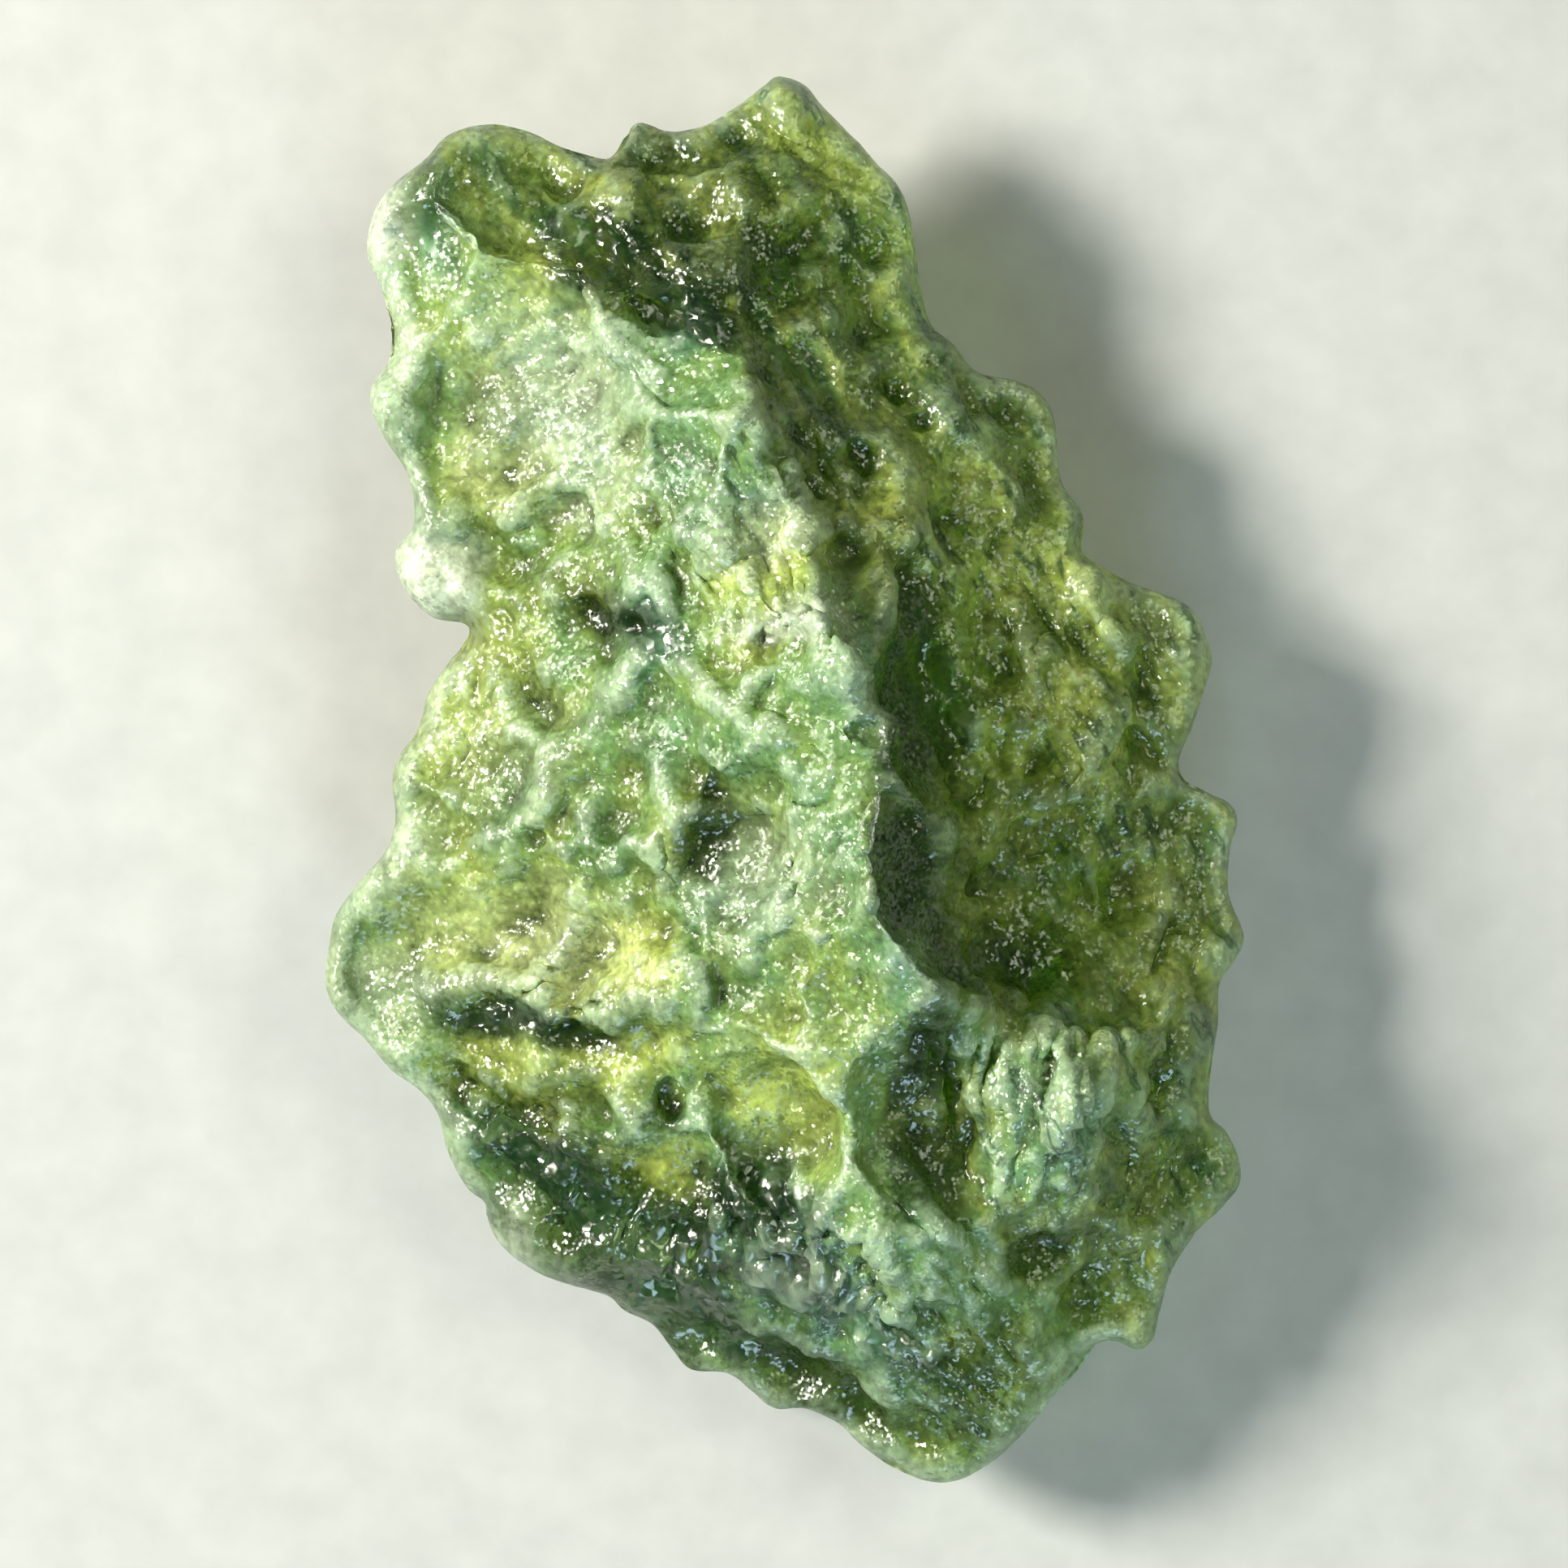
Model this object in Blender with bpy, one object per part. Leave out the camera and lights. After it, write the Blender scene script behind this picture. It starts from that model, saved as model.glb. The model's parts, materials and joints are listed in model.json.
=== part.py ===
"""Raw moldavite: one natural piece of green glass, ridged along its length, lying on its back.

It is modelled in millimetres over its plan and scaled to metres at the end. X runs right, Y along the
length, Z up from the surface that it lies on.
"""

import math

import bpy
import numpy as np
from mathutils import Vector, kdtree
from mathutils.geometry import delaunay_2d_cdt

# Sizes in millimetres
LENGTH = 34.7
FRONT_SPACING = 0.47
BACK_SPACING = 0.66
EDGE_RINGS = 3
SMALLEST_SCOOP = 0.5
GLASS_GREEN = (0.20, 0.27, 0.10, 1.0)

# Plan outline, clockwise from the top tip
OUTLINE = [
    (-0.16, 17.32), (0.48, 17.10), (0.88, 16.62), (1.54, 15.94), (2.24, 15.18), (2.72, 14.70),
    (3.02, 14.00), (3.18, 13.04), (3.36, 12.08), (3.60, 11.24), (4.12, 10.74), (4.54, 10.20),
    (4.94, 9.98), (5.80, 9.82), (6.36, 9.48), (6.64, 8.84), (6.72, 7.84), (6.88, 7.20),
    (7.24, 6.72), (7.36, 6.28), (7.30, 5.72), (7.64, 5.36), (8.54, 4.88), (9.64, 4.50),
    (10.18, 4.08), (10.44, 3.48), (10.54, 2.94), (10.30, 2.14), (10.04, 1.34), (9.72, 0.54),
    (9.84, 0.04), (10.44, -0.28), (10.98, -0.54), (11.18, -1.00), (11.00, -1.72), (10.94, -2.66),
    (11.10, -3.20), (11.34, -3.90), (11.12, -4.46), (10.76, -5.00), (10.68, -6.00), (10.50, -7.16),
    (10.46, -8.20), (10.90, -8.68), (11.18, -9.26), (11.26, -9.96), (10.80, -10.58), (10.08, -11.26),
    (9.50, -12.16), (9.26, -13.16), (9.10, -13.80), (8.72, -14.06), (8.20, -13.84), (7.68, -13.90),
    (7.24, -14.52), (6.64, -15.20), (6.04, -15.96), (5.24, -16.76), (4.34, -17.30), (3.64, -17.36),
    (2.64, -16.98), (1.90, -16.46), (1.30, -15.90), (0.54, -15.58), (-0.26, -15.56), (-0.86, -15.12),
    (-1.46, -14.70), (-2.32, -14.62), (-2.80, -14.12), (-3.30, -13.48), (-4.00, -13.12), (-4.46, -12.72),
    (-5.66, -12.38), (-6.46, -11.96), (-7.12, -11.40), (-7.38, -10.76), (-7.42, -10.40), (-7.86, -10.02),
    (-8.32, -9.12), (-8.54, -8.26), (-8.96, -7.66), (-9.68, -7.12), (-10.36, -6.40), (-11.06, -5.68),
    (-11.36, -5.04), (-11.28, -4.16), (-11.06, -3.26), (-10.40, -2.40), (-9.80, -1.64), (-9.60, -0.86),
    (-9.68, 0.00), (-9.52, 0.60), (-9.06, 1.24), (-8.76, 2.14), (-8.12, 3.08), (-7.78, 3.60),
    (-7.92, 3.88), (-8.66, 4.04), (-9.20, 4.50), (-9.54, 5.18), (-9.56, 5.74), (-9.16, 6.20),
    (-9.10, 6.84), (-9.30, 7.60), (-9.82, 8.38), (-10.20, 9.18), (-10.16, 9.76), (-9.72, 10.34),
    (-9.66, 11.04), (-9.86, 12.00), (-10.18, 12.68), (-10.26, 13.24), (-10.06, 14.04), (-9.52, 14.72),
    (-8.76, 15.30), (-8.26, 15.82), (-7.36, 16.08), (-6.36, 15.94), (-5.36, 15.46), (-4.46, 15.22),
    (-4.12, 15.40), (-3.74, 16.06), (-3.46, 16.12), (-2.80, 15.90), (-2.00, 16.06), (-1.26, 16.54),
    (-0.56, 17.08),
]

EDGE_HEIGHTS = [
    (-0.2, 17.3, 4.2), (2.7, 14.7, 4.0), (3.4, 12.0, 4.2), (5.8, 9.8, 3.8), (6.7, 8.0, 3.6), (7.3, 5.8, 3.9),
    (10.5, 3.0, 3.2), (9.8, 0.3, 3.7), (11.2, -1.0, 3.0), (11.3, -4.0, 3.0), (10.5, -8.0, 3.4),
    (11.3, -9.9, 2.9), (9.4, -12.5, 3.3), (8.6, -14.0, 3.2), (3.9, -17.4, 3.0), (0.2, -15.6, 2.6),
    (-2.4, -14.6, 2.4), (-6.8, -11.8, 3.0), (-8.6, -8.2, 3.6), (-11.4, -5.0, 3.2), (-9.7, 0.0, 3.7),
    (-7.8, 3.7, 4.2), (-9.5, 5.2, 3.9), (-9.2, 7.2, 4.2), (-10.2, 9.4, 3.9), (-9.7, 11.5, 4.4),
    (-10.2, 13.2, 4.2), (-7.8, 16.0, 4.6), (-4.4, 15.2, 4.9), (-2.8, 15.9, 4.6),
]

CREST = [
    (-10.56, 14.94, 3.0), (-8.46, 13.74, 6.0), (-6.36, 11.94, 7.2), (-4.16, 10.94, 8.0), (-2.36, 10.28, 8.5),
    (-1.26, 9.24, 9.0), (-0.76, 7.44, 9.2), (0.34, 5.94, 9.4), (1.54, 4.54, 9.6), (1.60, 2.64, 9.7),
    (2.24, 1.24, 9.8), (2.74, -0.36, 10.0), (3.08, -2.06, 10.0), (2.68, -3.46, 9.9), (3.44, -4.26, 9.7),
    (4.00, -5.46, 9.1), (2.84, -6.00, 8.7), (2.44, -7.16, 8.3), (2.08, -8.00, 8.1), (2.84, -8.96, 8.0),
    (3.84, -10.56, 7.7), (5.04, -11.86, 7.0), (6.44, -13.06, 6.0), (7.54, -13.80, 4.6), (9.44, -15.16, 3.0),
]

LEFT_HEIGHTS = [
    (-8.66, 9.24, 5.0), (-7.36, 7.84, 4.9), (-7.56, 10.64, 5.4), (-5.36, 9.64, 6.9), (-4.16, 7.64, 7.0),
    (-2.16, 7.44, 8.2), (-6.56, 5.44, 5.5), (-8.16, 5.44, 5.0), (-4.16, 5.24, 7.0), (-1.36, 4.44, 8.4),
    (-7.36, 2.24, 5.3), (-4.96, 2.24, 6.6), (-2.16, 1.64, 8.1), (-8.16, -0.76, 4.9), (-5.36, -0.76, 6.5),
    (-2.76, -0.76, 7.9), (0.24, -0.76, 9.2), (-9.76, -3.96, 4.5), (-7.16, -3.56, 5.3), (-4.16, -3.96, 6.7),
    (-1.36, -4.36, 7.9), (1.24, -3.76, 9.1), (-8.16, -5.16, 5.3), (-5.16, -5.16, 6.7), (-2.76, -5.26, 7.6),
    (-8.16, -6.66, 4.5), (-5.36, -6.76, 5.6), (-2.36, -6.86, 7.0),
    (0.24, -6.76, 8.0), (-6.56, -9.76, 4.6), (-4.16, -9.76, 5.5), (-1.76, -9.76, 6.5), (0.64, -10.76, 7.0),
    (2.44, -10.36, 7.7), (-4.16, -11.96, 4.4), (-1.36, -12.56, 5.0), (1.44, -13.16, 5.6), (4.24, -12.96, 6.4),
    (-1.96, -13.86, 3.6), (0.24, -14.56, 3.8), (3.84, -14.76, 4.8), (3.84, -16.36, 3.9), (6.04, -14.36, 4.8),
]

RIGHT_HEIGHTS = [
    (-8.16, 15.24, 5.4), (-7.16, 14.14, 5.3), (-5.36, 14.74, 5.4), (-4.96, 13.74, 6.3), (-5.36, 12.64, 6.0),
    (-3.96, 11.84, 6.7), (-2.36, 11.24, 7.0), (-3.36, 14.04, 6.0), (-2.36, 15.24, 5.5), (-1.36, 13.24, 6.4),
    (-0.16, 15.84, 5.2), (0.64, 13.24, 5.8), (1.84, 14.84, 4.8), (2.44, 12.84, 4.9), (-0.36, 10.84, 6.9),
    (1.04, 10.84, 6.5), (2.84, 10.64, 5.4), (0.04, 8.64, 7.0), (1.64, 8.04, 6.6), (3.64, 8.04, 5.8),
    (5.44, 8.44, 4.8), (1.84, 5.64, 6.7), (3.84, 5.24, 6.1), (6.04, 5.64, 4.9), (3.04, 2.84, 6.0),
    (4.64, 2.24, 5.7), (6.64, 3.04, 5.5), (8.64, 3.24, 4.6), (3.84, 0.04, 5.7), (5.64, -0.16, 5.5),
    (7.64, -0.36, 5.0), (9.64, -0.96, 4.1), (4.24, -2.36, 5.5), (5.64, -4.36, 5.3), (8.24, -3.76, 4.7),
    (10.04, -3.16, 3.9), (5.04, -6.00, 7.0), (6.44, -6.56, 7.4), (3.44, -6.96, 6.3), (3.04, -8.16, 6.0),
    (4.04, -9.76, 5.8), (4.74, -11.16, 5.8), (4.64, -7.76, 6.6), (5.84, -7.76, 7.4), (7.14, -7.66, 7.9),
    (5.64, -9.76, 6.9), (6.84, -9.56, 7.4), (8.64, -8.76, 5.2), (10.04, -9.16, 4.0), (6.04, -11.56, 5.0),
    (8.24, -11.56, 4.6), (8.24, -13.16, 4.0),
]

BACK_HEIGHTS = [
    (-4.0, 8.2, -0.30), (3.0, 5.0, -0.30), (4.6, -6.0, -0.30), (-4.5, -6.5, -0.30), (-1.0, 2.0, 0.5),
    (0.5, -2.5, 0.55), (-7.5, 9.8, 1.9), (-7.0, 13.2, 2.4), (-2.2, 13.2, 2.0), (1.4, 13.4, 2.2), (1.5, 9.5, 1.1),
    (4.6, 8.2, 1.9), (-7.0, 4.6, 1.8), (-7.6, -0.8, 1.7), (-9.0, -4.6, 1.8), (-4.6, 1.2, 0.9), (7.8, 2.6, 1.7),
    (8.6, -2.2, 1.7), (6.4, -1.2, 1.0), (8.6, -8.0, 1.7), (7.0, -12.0, 1.7), (3.6, -15.2, 1.6), (2.6, -11.2, 0.9),
    (-1.0, -12.6, 1.2), (-5.2, -9.8, 1.3), (-0.4, -8.6, 0.5),
]

# Scoops of the front: x, y, half length, half width, turn in degrees, depth.
FRONT_SCOOPS = [
    (-5.66, 9.54, 3.3, 2.3, -58, 1.25), (-6.56, 7.64, 1.2, 0.8, 0, 0.40), (-6.56, 5.44, 1.3, 0.9, 10, 0.45),
    (-5.36, 6.24, 1.1, 0.8, -30, 0.30), (-4.76, 3.84, 0.85, 0.60, -50, 0.45), (-3.56, 3.74, 0.38, 0.33, 0, 0.30),
    (0.04, 5.24, 1.5, 1.2, 60, 0.75), (-0.36, 3.24, 0.95, 0.65, 20, 0.40), (-2.56, 5.24, 1.0, 0.5, -70, 0.35),
    (-3.36, 6.04, 0.9, 0.6, -40, 0.30), (-4.96, 2.44, 0.80, 0.62, 80, 0.28), (-6.56, 2.24, 1.4, 0.9, 80, 0.35),
    (-7.36, 0.84, 1.3, 0.8, 75, 0.35), (-3.06, 2.14, 0.9, 0.6, -60, 0.30), (-1.56, 2.84, 0.9, 0.6, -50, 0.30),
    (-0.16, 2.04, 0.85, 0.7, 0, 0.40), (-6.16, -1.36, 0.38, 0.32, 0, 0.40), (-1.36, -1.56, 1.75, 1.15, 86, 0.95),
    (-0.36, -1.76, 1.3, 1.0, 30, 0.45), (-6.56, -3.66, 2.8, 1.6, -8, 0.90), (-4.16, -4.06, 1.1, 0.95, 0, 0.40),
    (-5.36, -0.96, 0.70, 0.55, 40, 0.28), (-4.16, -0.96, 0.70, 0.55, 70, 0.28), (-8.36, -1.36, 1.1, 0.8, 60, 0.30),
    (-7.36, -6.46, 1.2, 0.85, -20, 0.45), (-4.76, -6.36, 1.1, 0.75, -10, 0.40), (-3.16, -6.16, 0.8, 0.6, 40, 0.30),
    (-7.96, -7.46, 0.95, 0.65, -35, 0.40), (-6.26, -8.06, 0.95, 0.75, 0, 0.40), (-4.66, -8.06, 0.8, 0.6, -60, 0.35),
    (-6.36, -9.46, 1.1, 0.8, -40, 0.45), (-2.66, -7.86, 0.62, 0.52, -30, 0.50), (-3.36, -9.56, 1.3, 1.05, -60, 0.55),
    (-0.16, -8.46, 2.4, 1.80, -62, 1.60), (-2.76, -11.16, 1.1, 0.8, -30, 0.45), (-0.96, -11.06, 0.85, 0.75, 0, 0.42),
    (0.14, -11.76, 0.75, 0.65, 20, 0.30), (-4.56, -10.56, 0.95, 0.8, -30, 0.40), (-5.56, -11.16, 0.60, 0.5, 0, 0.30),
    (-2.16, -14.10, 1.8, 1.2, -30, 0.70), (0.34, -14.86, 2.1, 1.3, -38, 0.80), (1.64, -11.96, 1.35, 1.0, -50, 0.55),
    (3.64, -13.36, 1.5, 0.9, -40, 0.35), (2.54, 0.64, 0.40, 0.36, 0, 0.35), (2.04, 0.94, 0.36, 0.30, 0, 0.30),
    (3.04, 0.14, 0.38, 0.34, 0, 0.30), (2.94, -0.96, 0.42, 0.36, 0, 0.35), (0.94, -2.76, 1.0, 0.8, 20, 0.35),
    (-0.66, -4.76, 1.4, 1.0, 40, 0.35), (1.34, -5.06, 1.1, 0.9, 0, 0.35), (0.04, -0.16, 0.9, 0.7, 30, 0.30),
    (3.04, 1.64, 1.7, 1.0, 80, 0.70), (0.64, 13.24, 1.0, 0.9, 0, 0.55), (2.64, 9.64, 0.50, 0.44, 0, 0.40),
    (3.44, 8.74, 0.38, 0.34, 0, 0.28), (4.44, 9.04, 0.42, 0.36, 0, 0.28), (5.64, 9.24, 0.85, 0.7, 0, 0.35),
    (6.24, 7.44, 1.0, 0.55, 75, 0.35), (1.84, 7.84, 0.60, 0.48, 0, 0.40), (0.64, 7.04, 0.65, 0.45, -30, 0.35),
    (1.64, 5.44, 0.75, 0.62, 0, 0.40), (0.54, 9.84, 1.3, 0.8, -55, 0.40), (1.84, 11.64, 1.4, 1.0, -20, 0.40),
    (-1.96, 13.64, 1.1, 0.85, 10, 0.40), (-3.06, 11.34, 1.0, 0.58, -20, 0.60), (-4.56, 12.74, 1.0, 0.75, -40, 0.55),
    (-5.36, 14.54, 0.58, 0.48, 0, 0.45), (-5.80, 15.04, 0.40, 0.34, 0, 0.30), (-7.16, 13.84, 1.3, 0.75, -30, 0.45),
    (-2.16, 15.54, 1.8, 0.95, 15, 0.60), (1.24, 15.44, 1.2, 0.8, -45, 0.30), (5.44, -4.36, 1.65, 1.35, -20, 0.70),
    (4.94, -2.36, 0.95, 0.8, 0, 0.40), (6.64, -1.36, 1.3, 0.9, 20, 0.35), (6.24, 0.64, 1.4, 1.0, -40, 0.40),
    (5.24, 3.24, 1.5, 0.9, 60, 0.40), (4.24, 6.44, 1.6, 1.0, -60, 0.40), (3.04, 4.44, 1.1, 0.8, 60, 0.40),
    (8.24, 2.84, 1.3, 0.8, -30, 0.40), (9.04, 3.94, 0.9, 0.6, -20, 0.30), (8.64, 0.64, 1.1, 0.9, 0, 0.40),
    (8.64, -2.76, 1.3, 1.0, 60, 0.40), (10.04, -0.96, 0.8, 0.6, 0, 0.28), (9.64, -4.36, 1.1, 0.9, 80, 0.32),
    (8.24, -5.56, 1.3, 1.0, 0, 0.45), (9.04, -7.36, 1.1, 0.9, 80, 0.40), (8.44, -9.76, 1.6, 1.4, 0, 0.55),
    (10.24, -9.16, 0.8, 0.7, 0, 0.28), (5.94, -11.56, 1.0, 0.85, 0, 0.35), (7.84, -12.36, 1.3, 1.0, 40, 0.42),
    (7.20, -3.10, 1.1, 0.8, -50, 0.35), (5.20, 0.90, 0.9, 0.6, 80, 0.30), (4.04, -7.86, 0.9, 0.5, 85, 0.30),
    (6.24, -7.36, 1.1, 0.5, 80, 0.30), (6.94, -8.76, 1.0, 0.5, 75, 0.28), (5.74, -9.36, 1.1, 0.45, 85, 0.28),
]

# Parts of the front left without small scoops: x, y, half length, half width, turn in degrees.
QUIET = [
    (-5.66, 9.54, 3.1, 2.1, -58), (-6.56, -3.66, 2.5, 1.4, -8), (-0.16, -8.46, 2.0, 1.4, -62),
    (4.60, -15.00, 3.6, 2.2, 40), (-2.16, -14.10, 1.8, 1.2, -30), (0.34, -14.86, 2.1, 1.3, -38),
    (-2.16, 15.54, 1.8, 1.0, 15), (-1.46, -1.56, 1.6, 0.9, 86), (6.24, -7.60, 1.9, 2.4, 0),
]

EDGE_RADIUS = 0.85
WALL_WIDTH = 1.7
WALL_CURVE = 1.5
GRID = 0.1
ROUGH_SCOOP = 0.55
SCOOP_LIP = 0.10


def closed_curve(points, spacing):
    """A smooth closed curve through the points, read off at an even spacing."""
    p = np.array(points, float)
    before, after, beyond = np.roll(p, 1, 0), np.roll(p, -1, 0), np.roll(p, -2, 0)
    steps = np.linspace(0, 1, 16, endpoint=False)[:, None, None]
    knots = 0.5 * (
        2 * p + (after - before) * steps
        + (2 * before - 5 * p + 4 * after - beyond) * steps**2
        + (3 * p - before - 3 * after + beyond) * steps**3
    )
    fine = knots.transpose(1, 0, 2).reshape(-1, p.shape[1])
    loop = np.vstack([fine, fine[:1]])
    travelled = np.r_[0, np.cumsum(np.linalg.norm(np.diff(loop, axis=0), axis=1))]
    count = int(round(travelled[-1] / spacing))
    at = np.linspace(0, travelled[-1], count, endpoint=False)
    return np.stack([np.interp(at, travelled, loop[:, k]) for k in range(p.shape[1])], 1)


def tree_of(points):
    tree = kdtree.KDTree(len(points))
    for i, p in enumerate(points):
        tree.insert((p[0], p[1], 0), i)
    tree.balance()
    return tree


def nearest(tree, points):
    found = [tree.find((p[0], p[1], 0)) for p in points]
    return np.array([f[1] for f in found]), np.array([f[2] for f in found])


def edge_height(points):
    known = np.array(EDGE_HEIGHTS)
    gap = np.linalg.norm(points[:, None, :2] - known[None, :, :2], axis=2)
    weight = 1 / (gap**3 + 0.02)
    return (weight * known[:, 2]).sum(1) / weight.sum(1)


def thin_plate(controls, softness=0.02):
    """A smooth surface through (x, y, z) controls, as a function of plan points."""
    known = np.array(controls, float)
    n = len(known)

    def kernel(a, b):
        r2 = ((a[:, None] - b[None]) ** 2).sum(2)
        return 0.5 * r2 * np.log(np.maximum(r2, 1e-12))

    flat = np.c_[np.ones(n), known[:, :2]]
    system = np.zeros((n + 3, n + 3))
    system[:n, :n] = kernel(known[:, :2], known[:, :2]) + softness * np.eye(n)
    system[:n, n:] = flat
    system[n:, :n] = flat.T
    solved = np.linalg.solve(system, np.r_[known[:, 2], 0, 0, 0])

    def height(points):
        return kernel(points, known[:, :2]) @ solved[:n] + np.c_[np.ones(len(points)), points] @ solved[n:]

    return height


def open_curve(points, spacing):
    p = np.array(points, float)
    p = np.vstack([2 * p[0] - p[1], p, 2 * p[-1] - p[-2]])
    steps = np.linspace(0, 1, 12, endpoint=False)[:, None]
    parts = []
    for a, b, c, d in zip(p[:-3], p[1:-2], p[2:-1], p[3:]):
        parts.append(0.5 * (2 * b + (c - a) * steps + (2 * a - 5 * b + 4 * c - d) * steps**2
                            + (3 * b - a - 3 * c + d) * steps**3))
    fine = np.vstack([*parts, p[-2:-1]])
    travelled = np.r_[0, np.cumsum(np.linalg.norm(np.diff(fine[:, :2], axis=0), axis=1))]
    at = np.arange(0, travelled[-1], spacing)
    return np.stack([np.interp(at, travelled, fine[:, k]) for k in range(p.shape[1])], 1)


def noise(points, seed):
    """Smooth gradient noise in three dimensions, about -0.7 to 0.7."""
    order = np.random.default_rng(seed).permutation(256)
    slopes = np.random.default_rng(seed + 1).normal(size=(256, 3))
    slopes /= np.linalg.norm(slopes, axis=1)[:, None]
    cell = np.floor(points).astype(int)
    part = points - cell
    ease = part**3 * (part * (part * 6 - 15) + 10)
    total = np.zeros(len(points))
    for corner in np.ndindex(2, 2, 2):
        corner = np.array(corner)
        i, j, k = ((cell + corner) % 256).T
        pick = slopes[order[(order[(order[i] + j) % 256] + k) % 256]]
        share = np.where(corner, ease, 1 - ease).prod(1)
        total += share * (pick * (part - corner)).sum(1)
    return total


class Form:
    """The stone's two faces as heights over a grid of its plan."""

    def __init__(self):
        self.rim_tree = tree_of(closed_curve(OUTLINE, 0.05))
        rim = closed_curve(OUTLINE, 1.6)
        rim_height = edge_height(rim)
        above = np.c_[rim, rim_height + EDGE_RADIUS]
        below = np.c_[rim, rim_height - EDGE_RADIUS]
        crest = open_curve(CREST, 0.04)
        self.low = np.array([-13.0, -19.0])
        size = (261, 381)
        x, y = np.meshgrid(np.arange(size[0]) * GRID, np.arange(size[1]) * GRID, indexing="ij")
        plan = np.stack([x.ravel(), y.ravel()], 1) + self.low
        left = thin_plate([*above, *CREST[1:-1], *LEFT_HEIGHTS])(plan)
        right = thin_plate([*above, *RIGHT_HEIGHTS])(plan)
        flat = np.c_[plan, np.zeros(len(plan))]
        wander = np.stack([noise(flat * 0.55, 11), noise(flat * 0.55 + 40, 12)], 1) * 0.55
        wander += np.stack([noise(flat * 1.4, 13), noise(flat * 1.4 + 40, 14)], 1) * 0.3
        side = crest_side(crest, plan + wander)
        share = np.clip(side / WALL_WIDTH, 0, 1)
        wall = right + (left - right) * (1 - share) ** WALL_CURVE
        front = np.where(side > 0, wall, left).reshape(size)
        lumps = 0.75 * noise(flat * 0.24, 21) + 0.5 * noise(flat * 0.5, 22) + 0.22 * noise(flat * 1.05, 23)
        grain = np.c_[plan @ (0.57, -0.82) * 0.22, plan @ (0.82, 0.57) * 0.75, np.zeros(len(plan))]
        lumps += 0.42 * noise(grain, 24) + 0.16 * noise(grain * 2.1, 25)
        self.front = blur(front, 2) + lumps.reshape(size)
        swell = 0.6 * noise(flat * 0.22, 31) + 0.4 * noise(flat * 0.5, 32)
        self.back = (thin_plate([*below, *BACK_HEIGHTS])(plan) + swell).reshape(size)
        self.side = side.reshape(size)

    def read(self, field, points):
        """The field at plan points, between its grid values."""
        at = (points - self.low) / GRID
        cell = np.clip(at.astype(int), 0, np.array(field.shape) - 2)
        part = at - cell
        i, j = cell.T
        a, b = part.T
        low = field[i, j] * (1 - a) + field[i + 1, j] * a
        high = field[i, j + 1] * (1 - a) + field[i + 1, j + 1] * a
        return low * (1 - b) + high * b

    def rim_distance(self, points):
        return nearest(self.rim_tree, points)[1]


def crest_side(crest, points):
    """Signed distance from the crest, positive on the shaded side."""
    index, gap = nearest(tree_of(crest), points)
    ahead = np.clip(index + 3, 0, len(crest) - 1)
    behind = np.clip(index - 3, 0, len(crest) - 1)
    along = crest[ahead, :2] - crest[behind, :2]
    off = points - crest[index, :2]
    turn = along[:, 0] * off[:, 1] - along[:, 1] * off[:, 0]
    return np.where(turn > 0, gap, -gap)


def blur(field, rounds):
    for _ in range(rounds):
        wide = np.pad(field, 1, mode="edge")
        rows = wide[:-2] + 2 * wide[1:-1] + wide[2:]
        field = (rows[:, :-2] + 2 * rows[:, 1:-1] + rows[:, 2:]) / 16
    return field


def inside(points, loop):
    """Which plan points lie within the loop, by counting crossings."""
    a, b = loop, np.roll(loop, -1, 0)
    slope = (b[:, 0] - a[:, 0]) / np.where(b[:, 1] == a[:, 1], 1e-9, b[:, 1] - a[:, 1])
    result = np.zeros(len(points), bool)
    for start in range(0, len(points), 4000):
        p = points[start:start + 4000]
        cross = (a[:, 1] > p[:, None, 1]) != (b[:, 1] > p[:, None, 1])
        x = a[:, 0] + (p[:, None, 1] - a[:, 1]) * slope
        result[start:start + 4000] = (cross & (p[:, None, 0] < x)).sum(1) % 2 == 1
    return result


def plan_mesh(form, rim, spacing, rings):
    """Plan points and triangles: the rim loop, rings just inside it, and an even grid within."""
    ahead = np.roll(rim, -1, 0) - np.roll(rim, 1, 0)
    inward = np.stack([ahead[:, 1], -ahead[:, 0]], 1) / np.linalg.norm(ahead, axis=1)[:, None]
    layers = [rim]
    for d in rings:
        ring = rim + inward * d
        layers.append(ring[form.rim_distance(ring) > 0.93 * d])
    low, high = rim.min(0), rim.max(0)
    rows = int((high[1] - low[1]) / (spacing * math.sqrt(0.75))) + 1
    columns = int((high[0] - low[0]) / spacing) + 1
    row, column = np.meshgrid(np.arange(rows), np.arange(columns), indexing="ij")
    x = low[0] + (column + 0.5 * (row % 2)) * spacing
    y = low[1] + row * spacing * math.sqrt(0.75)
    grid = np.stack([x.ravel(), y.ravel()], 1)
    grid = grid[form.rim_distance(grid) > rings[-1] + 0.6 * spacing]
    layers.append(grid[inside(grid, rim)])
    points = np.vstack(layers)
    count = len(rim)
    edges = [(i, (i + 1) % count) for i in range(count)]
    while True:
        made = delaunay_2d_cdt([Vector(p) for p in points], edges, [], 1, 1e-5)
        xy = np.array([tuple(v) for v in made[0]])
        faces = np.array([tuple(f) for f in made[2]])
        pairs = np.vstack([faces[:, [0, 1]], faces[:, [1, 2]], faces[:, [2, 0]]])
        pairs = pairs[(pairs < count).all(1)]
        step = (pairs[:, 0] - pairs[:, 1]) % count
        chords = pairs[(step != 1) & (step != count - 1)]
        if len(chords) == 0:
            return xy, faces
        points = np.vstack([xy, xy[np.unique(np.sort(chords, 1), axis=0)].mean(1)])


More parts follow.
